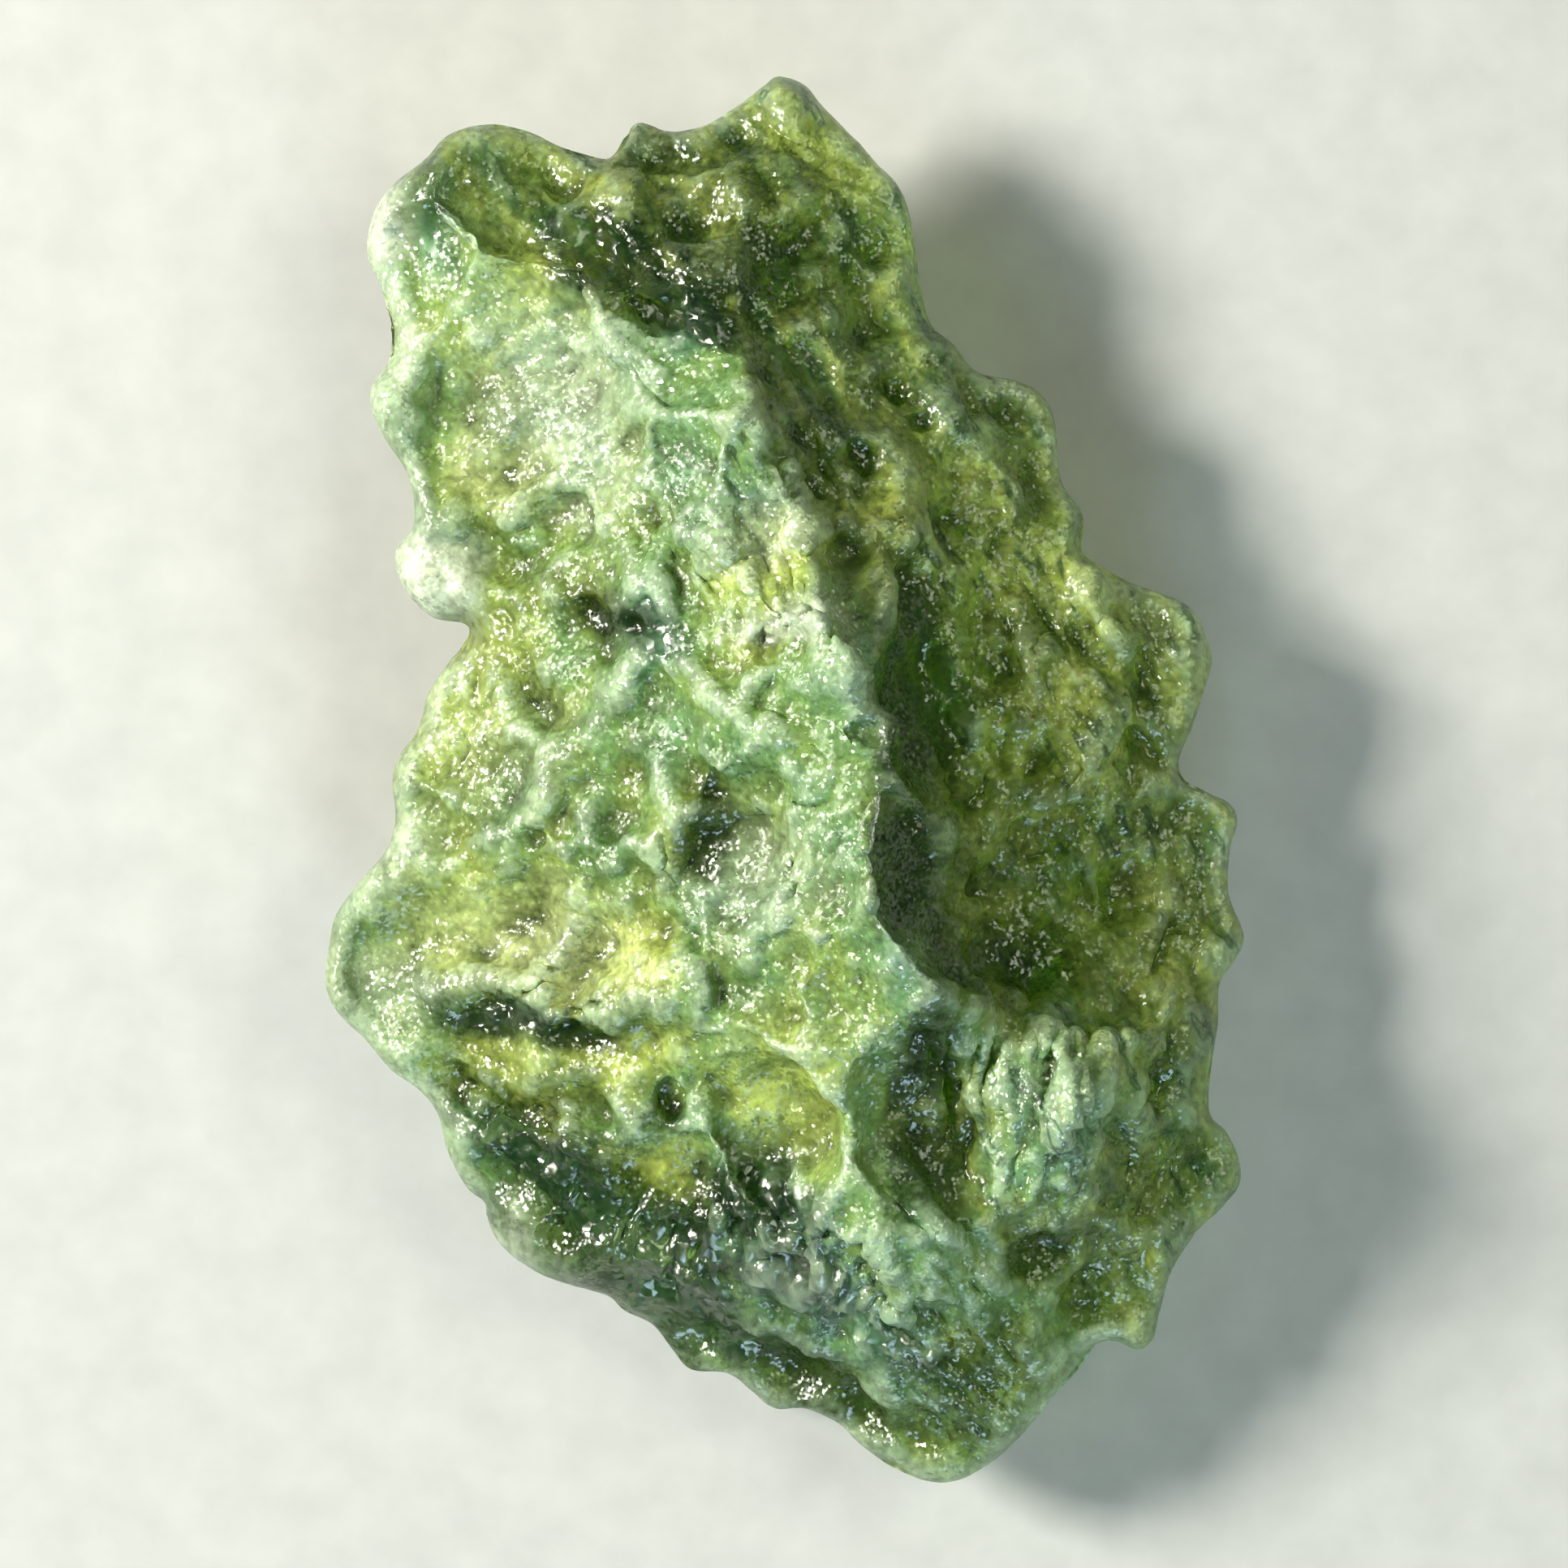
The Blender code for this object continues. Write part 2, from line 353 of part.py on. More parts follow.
def dig(points, side, scoop, facing, hold):
    """Pushes the points of one side out of an oval scoop set square to the local surface."""
    x, y, a, b, turn, depth = scoop
    passes = 1 + int(3 * depth / math.sqrt(a * b))
    off = points[:, :2] - (x, y)
    near = np.flatnonzero(((off**2).sum(1) < (2.0 * a) ** 2) & side)
    around = near[(off[near] ** 2).sum(1) < (1.1 * a) ** 2]
    if len(around) < 6:
        return
    middle = points[around].mean(0)
    normal = np.linalg.svd(points[around] - middle, full_matrices=False)[2][2]
    normal *= facing * np.sign(normal[2])
    normal[2] = facing * max(abs(normal[2]), 0.45)
    normal /= np.linalg.norm(normal)
    mouth = np.array([x, y, middle[2] - ((x - middle[0]) * normal[0] + (y - middle[1]) * normal[1]) / normal[2]])
    along = np.array([math.cos(math.radians(turn)), math.sin(math.radians(turn)), 0])
    along -= normal * (along @ normal)
    along /= np.linalg.norm(along)
    across = np.cross(normal, along)
    mean = math.sqrt(a * b)
    frame = np.stack([along / a, across / b, normal / mean])
    for step in range(passes):
        push_out(points, near, mouth, frame, depth / mean * (step + 1) / passes, hold, x)


def push_out(points, near, mouth, frame, deep, hold, phase):
    """Pushes points out of a ball whose mouth is the frame's unit circle."""
    local = (points[near] - mouth) @ frame.T
    radius = (1 + deep**2) / (2 * deep)
    centre = np.array([0, 0, radius - deep])
    arm = local - centre
    reach = np.linalg.norm(arm, axis=1)
    uneven = noise(local * 0.9 + 7.3 * phase, 5) + 0.5 * noise(local * 2.1, 6)
    past = radius - reach * (1 + ROUGH_SCOOP * deep * uneven)
    soft = SCOOP_LIP * deep
    push = np.where(past > soft, past, np.clip(past + soft, 0, None) ** 2 / (4 * soft))
    push[local[:, 2] > 0.9 * radius] = 0
    moved = mouth + (centre + arm * (1 + push / reach)[:, None]) @ np.linalg.inv(frame).T
    points[near] += (moved - points[near]) * hold[near][:, None]


def relax(points, faces, rounds, softness, held):
    """Evens out the spacing of the points within the surface, and softens it by a share of each step."""
    ends = np.vstack([faces[:, [0, 1]], faces[:, [1, 2]], faces[:, [2, 0]]])
    ends = np.vstack([ends, ends[:, ::-1]])
    count = len(points)
    links = np.bincount(ends[:, 0], minlength=count)
    for _ in range(rounds):
        mean = np.stack([np.bincount(ends[:, 0], points[ends[:, 1], k], count) for k in range(3)], 1) / links[:, None]
        shift = mean - points
        normal = vertex_normals(points, faces)
        upright = (shift * normal).sum(1)[:, None] * normal
        points += (0.5 * (shift - upright) + softness * upright) * (1 - held)[:, None]


def vertex_normals(points, faces):
    a, b, c = (points[faces[:, k]] for k in range(3))
    face_normal = np.cross(b - a, c - a)
    total = np.zeros_like(points)
    for k in range(3):
        for axis in range(3):
            total[:, axis] += np.bincount(faces[:, k], face_normal[:, axis], len(points))
    return total / np.maximum(np.linalg.norm(total, axis=1), 1e-12)[:, None]


def quiet(points):
    """Which plan points lie in a part without small scoops."""
    found = np.zeros(len(points), bool)
    for x, y, a, b, turn in QUIET:
        c, s = math.cos(math.radians(turn)), math.sin(math.radians(turn))
        off = points - (x, y)
        found |= ((off @ (c, s)) / a) ** 2 + ((off @ (-s, c)) / b) ** 2 < 1
    return found


def scattered(form, tries, sizes, deep, turns, seed, spread, region):
    """Seeded scoops, none nearer to another than spread times their joint size."""
    rng = np.random.default_rng(seed)
    made = np.zeros((0, 6))
    spots = rng.uniform((-11.5, -17.5), (11.5, 17.5), (tries, 2))
    rim_gap = form.rim_distance(spots)
    here = inside(spots, form.rim_loop) & region(spots)
    for (x, y), gap in zip(spots[here], rim_gap[here]):
        a = sizes[0] + (sizes[1] - sizes[0]) * rng.uniform() ** 1.4
        turn, slim, depth = rng.uniform(*turns), rng.uniform(0.5, 0.95), rng.uniform(*deep)
        if gap < 0.7 * a or (np.hypot(made[:, 0] - x, made[:, 1] - y) < spread * (a + made[:, 2])).any():
            continue
        made = np.vstack([made, (x, y, a, a * slim, turn, a * depth)])
    return [tuple(s) for s in made]


def stone_mesh(front_spacing, back_spacing, ring_count, smallest, rounds, softness):
    """Closed mesh of the stone: vertices, faces and whether each vertex is on the back."""
    form = Form()
    rim = closed_curve(OUTLINE, front_spacing)
    form.rim_loop = rim
    turns = np.radians(np.linspace(0, 90, ring_count + 1)[1:])
    rings = EDGE_RADIUS * (1 - np.cos(turns))
    parts = []
    for spacing, face, sign in ((front_spacing, form.front, 1), (back_spacing, form.back, -1)):
        xy, faces = plan_mesh(form, rim, spacing, rings)
        reach = np.clip(form.rim_distance(xy), 0, EDGE_RADIUS)
        drop = EDGE_RADIUS - np.sqrt(np.maximum(EDGE_RADIUS**2 - (EDGE_RADIUS - reach) ** 2, 0))
        z = form.read(face, xy) - sign * drop
        z[:len(rim)] = edge_height(rim)
        parts.append((np.c_[xy, z], faces))
    (front, front_faces), (back, back_faces) = parts
    count = len(rim)
    index = np.r_[np.arange(count), len(front) + np.arange(len(back) - count)]
    points = np.vstack([front, back[count:]])
    faces = np.vstack([front_faces, index[back_faces][:, ::-1]])
    on_back = np.arange(len(points)) >= len(front)
    on_front = ~on_back
    on_front[:count] = False
    gap = form.rim_distance(points[:, :2])
    hold = np.clip(gap / 0.6, 0, 1) ** 1.5
    def lit(p):
        return (form.read(form.side, p) < 0.4) & ~quiet(p)

    def dim(p):
        return (form.read(form.side, p) > 0.4) & ~quiet(p)

    bright = scattered(form, 1500, (0.7, 2.3), (0.09, 0.24), (-85, 20), 51, 0.70, lit)
    shaded = scattered(form, 900, (0.6, 1.7), (0.10, 0.24), (-80, -30), 52, 0.85, dim)
    for scoop in sorted([*FRONT_SCOOPS, *bright, *shaded], key=lambda s: -s[2]):
        if scoop[2] > smallest:
            dig(points, on_front, scoop, 1, hold)
    under = scattered(form, 1800, (0.7, 2.8), (0.32, 0.5), (0, 180), 53, 0.62, lambda p: form.read(form.back, p) > 0.5)
    for scoop in sorted(under, key=lambda s: -s[2]):
        if scoop[2] > smallest:
            dig(points, on_back, scoop, -1, hold)
    held = np.zeros(len(points))
    held[:count] = 1
    relax(points, faces, rounds, softness, held)
    points[on_back, 2] = np.maximum(points[on_back, 2], 0)
    return points, faces, on_back


def main():
    for old in list(bpy.data.objects):
        bpy.data.objects.remove(old, do_unlink=True)
    points, faces = stone_mesh(FRONT_SPACING, BACK_SPACING, EDGE_RINGS, SMALLEST_SCOOP, 3, 0.03)[:2]
    low, high = points.min(0), points.max(0)
    points -= ((low[0] + high[0]) / 2, (low[1] + high[1]) / 2, 0)
    points *= 0.001 * LENGTH / (high[1] - low[1])
    mesh = bpy.data.meshes.new("moldavite")
    mesh.from_pydata(points.tolist(), [], faces.tolist())
    glass = bpy.data.materials.new("moldavite_glass")
    glass.use_nodes = True
    shader = glass.node_tree.nodes["Principled BSDF"]
    shader.inputs["Base Color"].default_value = GLASS_GREEN
    shader.inputs["Roughness"].default_value = 0.35
    shader.inputs["Transmission Weight"].default_value = 0.6
    shader.inputs["IOR"].default_value = 1.49
    mesh.materials.append(glass)
    stone = bpy.data.objects.new("moldavite", mesh)
    bpy.context.scene.collection.objects.link(stone)


main()
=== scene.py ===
"""Raw moldavite: the looks. One piece of glass on a plain pale floor, seen from straight above."""
import json
import math

import bpy
import numpy as np
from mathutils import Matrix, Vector, kdtree
from mathutils.geometry import delaunay_2d_cdt

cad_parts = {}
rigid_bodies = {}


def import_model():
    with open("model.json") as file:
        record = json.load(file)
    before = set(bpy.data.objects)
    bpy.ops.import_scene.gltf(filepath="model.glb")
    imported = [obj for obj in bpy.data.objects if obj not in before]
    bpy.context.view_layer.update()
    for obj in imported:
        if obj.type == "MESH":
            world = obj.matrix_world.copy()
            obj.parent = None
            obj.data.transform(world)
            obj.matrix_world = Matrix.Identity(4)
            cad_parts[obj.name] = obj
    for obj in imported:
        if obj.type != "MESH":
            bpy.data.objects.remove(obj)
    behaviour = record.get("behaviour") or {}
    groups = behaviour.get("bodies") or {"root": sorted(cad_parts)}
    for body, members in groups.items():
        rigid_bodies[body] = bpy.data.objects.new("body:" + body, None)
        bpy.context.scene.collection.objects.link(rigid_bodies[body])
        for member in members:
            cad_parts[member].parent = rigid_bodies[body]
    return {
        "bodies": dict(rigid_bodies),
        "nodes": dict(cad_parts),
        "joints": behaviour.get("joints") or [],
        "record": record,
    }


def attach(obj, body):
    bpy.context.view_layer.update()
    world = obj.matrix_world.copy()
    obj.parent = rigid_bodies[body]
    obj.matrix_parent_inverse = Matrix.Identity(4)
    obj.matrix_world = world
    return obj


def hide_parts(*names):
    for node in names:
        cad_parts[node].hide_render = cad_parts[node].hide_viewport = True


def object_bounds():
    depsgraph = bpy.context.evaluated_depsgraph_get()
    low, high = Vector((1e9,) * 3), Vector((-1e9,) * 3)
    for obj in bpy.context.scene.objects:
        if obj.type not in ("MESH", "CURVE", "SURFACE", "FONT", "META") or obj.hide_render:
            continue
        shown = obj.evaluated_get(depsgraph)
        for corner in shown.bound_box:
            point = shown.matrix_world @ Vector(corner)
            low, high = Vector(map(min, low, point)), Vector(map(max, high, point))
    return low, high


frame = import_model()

CAD_BOX = [list(corner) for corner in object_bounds()]

# Sizes in millimetres: spacing of the mesh points, and rings of points around the rounded rim
FRONT_SPACING = 0.112
BACK_SPACING = 0.17
EDGE_RINGS = 8
RELAX_ROUNDS = 5
RELAX_SOFTNESS = 0.10

# Plan outline, clockwise from the top tip
OUTLINE = [
    (-0.16, 17.32), (0.48, 17.10), (0.88, 16.62), (1.54, 15.94), (2.24, 15.18), (2.72, 14.70),
    (3.02, 14.00), (3.18, 13.04), (3.36, 12.08), (3.60, 11.24), (4.12, 10.74), (4.54, 10.20), (4.94, 9.98),
    (5.80, 9.82), (6.36, 9.48), (6.64, 8.84), (6.72, 7.84), (6.88, 7.20), (7.24, 6.72), (7.36, 6.28),
    (7.30, 5.72), (7.64, 5.36), (8.54, 4.88), (9.64, 4.50), (10.18, 4.08), (10.44, 3.48), (10.54, 2.94),
    (10.30, 2.14), (10.04, 1.34), (9.72, 0.54), (9.84, 0.04), (10.44, -0.28), (10.98, -0.54),
    (11.18, -1.00), (11.00, -1.72), (10.94, -2.66), (11.10, -3.20), (11.34, -3.90), (11.12, -4.46),
    (10.76, -5.00), (10.68, -6.00), (10.50, -7.16), (10.46, -8.20), (10.90, -8.68), (11.18, -9.26),
    (11.26, -9.96), (10.80, -10.58), (10.08, -11.26), (9.50, -12.16), (9.26, -13.16), (9.10, -13.80),
    (8.72, -14.06), (8.20, -13.84), (7.68, -13.90), (7.24, -14.52), (6.64, -15.20), (6.04, -15.96),
    (5.24, -16.76), (4.34, -17.30), (3.64, -17.36), (2.64, -16.98), (1.90, -16.46), (1.30, -15.90),
    (0.54, -15.58), (-0.26, -15.56), (-0.86, -15.12), (-1.46, -14.70), (-2.32, -14.62), (-2.80, -14.12),
    (-3.30, -13.48), (-4.00, -13.12), (-4.46, -12.72), (-5.66, -12.38), (-6.46, -11.96), (-7.12, -11.40),
    (-7.38, -10.76), (-7.42, -10.40), (-7.86, -10.02), (-8.32, -9.12), (-8.54, -8.26), (-8.96, -7.66),
    (-9.68, -7.12), (-10.36, -6.40), (-11.06, -5.68), (-11.36, -5.04), (-11.28, -4.16), (-11.06, -3.26),
    (-10.40, -2.40), (-9.80, -1.64), (-9.60, -0.86), (-9.68, 0.00), (-9.52, 0.60), (-9.06, 1.24),
    (-8.76, 2.14), (-8.12, 3.08), (-7.78, 3.60), (-7.92, 3.88), (-8.66, 4.04), (-9.20, 4.50), (-9.54, 5.18),
    (-9.56, 5.74), (-9.16, 6.20), (-9.10, 6.84), (-9.30, 7.60), (-9.82, 8.38), (-10.20, 9.18),
    (-10.16, 9.76), (-9.72, 10.34), (-9.66, 11.04), (-9.86, 12.00), (-10.18, 12.68), (-10.26, 13.24),
    (-10.06, 14.04), (-9.52, 14.72), (-8.76, 15.30), (-8.26, 15.82), (-7.36, 16.08), (-6.36, 15.94),
    (-5.36, 15.46), (-4.46, 15.22), (-4.12, 15.40), (-3.74, 16.06), (-3.46, 16.12), (-2.80, 15.90),
    (-2.00, 16.06), (-1.26, 16.54), (-0.56, 17.08),
]

# Heights of the rim's middle: x, y, z
EDGE_HEIGHTS = [
    (-0.2, 17.3, 4.2), (2.7, 14.7, 4.0), (3.4, 12.0, 4.2), (5.8, 9.8, 3.8), (6.7, 8.0, 3.6),
    (7.3, 5.8, 3.9), (10.5, 3.0, 3.2), (9.8, 0.3, 3.7), (11.2, -1.0, 3.0), (11.3, -4.0, 3.0),
    (10.5, -8.0, 3.4), (11.3, -9.9, 2.9), (9.4, -12.5, 3.3), (8.6, -14.0, 3.2), (3.9, -17.4, 3.0),
    (0.2, -15.6, 2.6), (-2.4, -14.6, 2.4), (-6.8, -11.8, 3.0), (-8.6, -8.2, 3.6), (-11.4, -5.0, 3.2),
    (-9.7, 0.0, 3.7), (-7.8, 3.7, 4.2), (-9.5, 5.2, 3.9), (-9.2, 7.2, 4.2), (-10.2, 9.4, 3.9),
    (-9.7, 11.5, 4.4), (-10.2, 13.2, 4.2), (-7.8, 16.0, 4.6), (-4.4, 15.2, 4.9), (-2.8, 15.9, 4.6),
]

CREST = [
    (-10.56, 14.94, 3.0), (-8.46, 13.74, 6.0), (-6.36, 11.94, 7.2), (-4.16, 10.94, 8.0),
    (-2.36, 10.28, 8.5), (-1.26, 9.24, 9.0), (-0.76, 7.44, 9.2), (0.34, 5.94, 9.4), (1.54, 4.54, 9.6),
    (1.60, 2.64, 9.7), (2.24, 1.24, 9.8), (2.74, -0.36, 10.0), (3.08, -2.06, 10.0), (2.68, -3.46, 9.9),
    (3.44, -4.26, 9.7), (4.00, -5.46, 9.1), (2.84, -6.00, 8.7), (2.44, -7.16, 8.3), (2.08, -8.00, 8.1),
    (2.84, -8.96, 8.0), (3.84, -10.56, 7.7), (5.04, -11.86, 7.0), (6.44, -13.06, 6.0), (7.54, -13.80, 4.6),
    (9.44, -15.16, 3.0),
]

LEFT_HEIGHTS = [
    (-8.66, 9.24, 5.0), (-7.36, 7.84, 4.9), (-7.56, 10.64, 5.4), (-5.36, 9.64, 6.9), (-4.16, 7.64, 7.0),
    (-2.16, 7.44, 8.2), (-6.56, 5.44, 5.5), (-8.16, 5.44, 5.0), (-4.16, 5.24, 7.0), (-1.36, 4.44, 8.4),
    (-7.36, 2.24, 5.3), (-4.96, 2.24, 6.6), (-2.16, 1.64, 8.1), (-8.16, -0.76, 4.9), (-5.36, -0.76, 6.5),
    (-2.76, -0.76, 7.9), (0.24, -0.76, 9.2), (-9.76, -3.96, 4.5), (-7.16, -3.56, 5.3), (-4.16, -3.96, 6.7),
    (-1.36, -4.36, 7.9), (1.24, -3.76, 9.1), (-8.16, -5.16, 5.3), (-5.16, -5.16, 6.7), (-2.76, -5.26, 7.6),
    (-8.16, -6.66, 4.5), (-5.36, -6.76, 5.6), (-2.36, -6.86, 7.0), (0.24, -6.76, 8.0), (-6.56, -9.76, 4.6),
    (-4.16, -9.76, 5.5), (-1.76, -9.76, 6.5), (0.64, -10.76, 7.0), (2.44, -10.36, 7.7),
    (-4.16, -11.96, 4.4), (-1.36, -12.56, 5.0), (1.44, -13.16, 5.6), (4.24, -12.96, 6.4),
    (-1.96, -13.86, 3.6), (0.24, -14.56, 3.8), (3.84, -14.76, 4.8), (3.84, -16.36, 3.9),
    (6.04, -14.36, 4.8),
]

RIGHT_HEIGHTS = [
    (-8.16, 15.24, 5.4), (-7.16, 14.14, 5.3), (-5.36, 14.74, 5.4), (-4.96, 13.74, 6.3), (-5.36, 12.64, 6.0),
    (-3.96, 11.84, 6.7), (-2.36, 11.24, 7.0), (-3.36, 14.04, 6.0), (-2.36, 15.24, 5.5), (-1.36, 13.24, 6.4),
    (-0.16, 15.84, 5.2), (0.64, 13.24, 5.8), (1.84, 14.84, 4.8), (2.44, 12.84, 4.9), (-0.36, 10.84, 6.9),
    (1.04, 10.84, 6.5), (2.84, 10.64, 5.4), (0.04, 8.64, 7.0), (1.64, 8.04, 6.6), (3.64, 8.04, 5.8),
    (5.44, 8.44, 4.8), (1.84, 5.64, 6.7), (3.84, 5.24, 6.1), (6.04, 5.64, 4.9), (3.04, 2.84, 6.0),
    (4.64, 2.24, 5.7), (6.64, 3.04, 5.5), (8.64, 3.24, 4.6), (3.84, 0.04, 5.7), (5.64, -0.16, 5.5),
    (7.64, -0.36, 5.0), (9.64, -0.96, 4.1), (4.24, -2.36, 5.5), (5.64, -4.36, 5.3), (8.24, -3.76, 4.7),
    (10.04, -3.16, 3.9), (5.04, -6.00, 7.0), (6.44, -6.56, 7.4), (3.44, -6.96, 6.3), (3.04, -8.16, 6.0),
    (4.04, -9.76, 5.8), (4.74, -11.16, 5.8), (4.64, -7.76, 6.6), (5.84, -7.76, 7.4), (7.14, -7.66, 7.9),
    (5.64, -9.76, 6.9), (6.84, -9.56, 7.4), (8.64, -8.76, 5.2), (10.04, -9.16, 4.0), (6.04, -11.56, 5.0),
    (8.24, -11.56, 4.6), (8.24, -13.16, 4.0),
]

BACK_HEIGHTS = [
    (-4.0, 8.2, -0.30), (3.0, 5.0, -0.30), (4.6, -6.0, -0.30), (-4.5, -6.5, -0.30), (-1.0, 2.0, 0.5),
    (0.5, -2.5, 0.55), (-7.5, 9.8, 1.9), (-7.0, 13.2, 2.4), (-2.2, 13.2, 2.0), (1.4, 13.4, 2.2),
    (1.5, 9.5, 1.1), (4.6, 8.2, 1.9), (-7.0, 4.6, 1.8), (-7.6, -0.8, 1.7), (-9.0, -4.6, 1.8),
    (-4.6, 1.2, 0.9), (7.8, 2.6, 1.7), (8.6, -2.2, 1.7), (6.4, -1.2, 1.0), (8.6, -8.0, 1.7),
    (7.0, -12.0, 1.7), (3.6, -15.2, 1.6), (2.6, -11.2, 0.9), (-1.0, -12.6, 1.2), (-5.2, -9.8, 1.3),
    (-0.4, -8.6, 0.5),
]

# Scoops of the front: x, y, half length, half width, turn in degrees, depth.
FRONT_SCOOPS = [
    (-5.66, 9.54, 3.3, 2.3, -58, 1.25), (-6.56, 7.64, 1.2, 0.8, 0, 0.40), (-6.56, 5.44, 1.3, 0.9, 10, 0.45),
    (-5.36, 6.24, 1.1, 0.8, -30, 0.30), (-4.76, 3.84, 0.85, 0.60, -50, 0.45),
    (-3.56, 3.74, 0.38, 0.33, 0, 0.30), (0.04, 5.24, 1.5, 1.2, 60, 0.75),
    (-0.36, 3.24, 0.95, 0.65, 20, 0.40), (-2.56, 5.24, 1.0, 0.5, -70, 0.35),
    (-3.36, 6.04, 0.9, 0.6, -40, 0.30), (-4.96, 2.44, 0.80, 0.62, 80, 0.28),
    (-6.56, 2.24, 1.4, 0.9, 80, 0.35), (-7.36, 0.84, 1.3, 0.8, 75, 0.35),
    (-3.06, 2.14, 0.9, 0.6, -60, 0.30), (-1.56, 2.84, 0.9, 0.6, -50, 0.30),
    (-0.16, 2.04, 0.85, 0.7, 0, 0.40), (-6.16, -1.36, 0.38, 0.32, 0, 0.40),
    (-1.36, -1.56, 1.75, 1.15, 86, 0.95), (-0.36, -1.76, 1.3, 1.0, 30, 0.45),
    (-6.56, -3.66, 2.8, 1.6, -8, 0.90), (-4.16, -4.06, 1.1, 0.95, 0, 0.40),
    (-5.36, -0.96, 0.70, 0.55, 40, 0.28), (-4.16, -0.96, 0.70, 0.55, 70, 0.28),
    (-8.36, -1.36, 1.1, 0.8, 60, 0.30), (-7.36, -6.46, 1.2, 0.85, -20, 0.45),
    (-4.76, -6.36, 1.1, 0.75, -10, 0.40), (-3.16, -6.16, 0.8, 0.6, 40, 0.30),
    (-7.96, -7.46, 0.95, 0.65, -35, 0.40), (-6.26, -8.06, 0.95, 0.75, 0, 0.40),
    (-4.66, -8.06, 0.8, 0.6, -60, 0.35), (-6.36, -9.46, 1.1, 0.8, -40, 0.45),
    (-2.66, -7.86, 0.62, 0.52, -30, 0.50), (-3.36, -9.56, 1.3, 1.05, -60, 0.55),
    (-0.16, -8.46, 2.4, 1.80, -62, 1.60), (-2.76, -11.16, 1.1, 0.8, -30, 0.45),
    (-0.96, -11.06, 0.85, 0.75, 0, 0.42), (0.14, -11.76, 0.75, 0.65, 20, 0.30),
    (-4.56, -10.56, 0.95, 0.8, -30, 0.40), (-5.56, -11.16, 0.60, 0.5, 0, 0.30),
    (-2.16, -14.10, 1.8, 1.2, -30, 0.70), (0.34, -14.86, 2.1, 1.3, -38, 0.80),
    (1.64, -11.96, 1.35, 1.0, -50, 0.55), (3.64, -13.36, 1.5, 0.9, -40, 0.35),
    (2.54, 0.64, 0.40, 0.36, 0, 0.35), (2.04, 0.94, 0.36, 0.30, 0, 0.30), (3.04, 0.14, 0.38, 0.34, 0, 0.30),
    (2.94, -0.96, 0.42, 0.36, 0, 0.35), (0.94, -2.76, 1.0, 0.8, 20, 0.35),
    (-0.66, -4.76, 1.4, 1.0, 40, 0.35), (1.34, -5.06, 1.1, 0.9, 0, 0.35), (0.04, -0.16, 0.9, 0.7, 30, 0.30),
    (3.04, 1.64, 1.7, 1.0, 80, 0.70), (0.64, 13.24, 1.0, 0.9, 0, 0.55), (2.64, 9.64, 0.50, 0.44, 0, 0.40),
    (3.44, 8.74, 0.38, 0.34, 0, 0.28), (4.44, 9.04, 0.42, 0.36, 0, 0.28), (5.64, 9.24, 0.85, 0.7, 0, 0.35),
    (6.24, 7.44, 1.0, 0.55, 75, 0.35), (1.84, 7.84, 0.60, 0.48, 0, 0.40),
    (0.64, 7.04, 0.65, 0.45, -30, 0.35), (1.64, 5.44, 0.75, 0.62, 0, 0.40),
    (0.54, 9.84, 1.3, 0.8, -55, 0.40), (1.84, 11.64, 1.4, 1.0, -20, 0.40),
    (-1.96, 13.64, 1.1, 0.85, 10, 0.40), (-3.06, 11.34, 1.0, 0.58, -20, 0.60),
    (-4.56, 12.74, 1.0, 0.75, -40, 0.55), (-5.36, 14.54, 0.58, 0.48, 0, 0.45),
    (-5.80, 15.04, 0.40, 0.34, 0, 0.30), (-7.16, 13.84, 1.3, 0.75, -30, 0.45),
    (-2.16, 15.54, 1.8, 0.95, 15, 0.60), (1.24, 15.44, 1.2, 0.8, -45, 0.30),
    (5.44, -4.36, 1.65, 1.35, -20, 0.70), (4.94, -2.36, 0.95, 0.8, 0, 0.40),
    (6.64, -1.36, 1.3, 0.9, 20, 0.35), (6.24, 0.64, 1.4, 1.0, -40, 0.40), (5.24, 3.24, 1.5, 0.9, 60, 0.40),
    (4.24, 6.44, 1.6, 1.0, -60, 0.40), (3.04, 4.44, 1.1, 0.8, 60, 0.40), (8.24, 2.84, 1.3, 0.8, -30, 0.40),
    (9.04, 3.94, 0.9, 0.6, -20, 0.30), (8.64, 0.64, 1.1, 0.9, 0, 0.40), (8.64, -2.76, 1.3, 1.0, 60, 0.40),
    (10.04, -0.96, 0.8, 0.6, 0, 0.28), (9.64, -4.36, 1.1, 0.9, 80, 0.32), (8.24, -5.56, 1.3, 1.0, 0, 0.45),
    (9.04, -7.36, 1.1, 0.9, 80, 0.40), (8.44, -9.76, 1.6, 1.4, 0, 0.55), (10.24, -9.16, 0.8, 0.7, 0, 0.28),
    (5.94, -11.56, 1.0, 0.85, 0, 0.35), (7.84, -12.36, 1.3, 1.0, 40, 0.42),
    (7.20, -3.10, 1.1, 0.8, -50, 0.35), (5.20, 0.90, 0.9, 0.6, 80, 0.30), (4.04, -7.86, 0.9, 0.5, 85, 0.30),
    (6.24, -7.36, 1.1, 0.5, 80, 0.30), (6.94, -8.76, 1.0, 0.5, 75, 0.28),
    (5.74, -9.36, 1.1, 0.45, 85, 0.28),
]

# Parts of the front left without small scoops: x, y, half length, half width, turn in degrees.
QUIET = [
    (-5.66, 9.54, 3.1, 2.1, -58), (-6.56, -3.66, 2.5, 1.4, -8), (-0.16, -8.46, 2.0, 1.4, -62),
    (4.60, -15.00, 3.6, 2.2, 40), (-2.16, -14.10, 1.8, 1.2, -30), (0.34, -14.86, 2.1, 1.3, -38),
    (-2.16, 15.54, 1.8, 1.0, 15), (-1.46, -1.56, 1.6, 0.9, 86), (6.24, -7.60, 1.9, 2.4, 0),
]

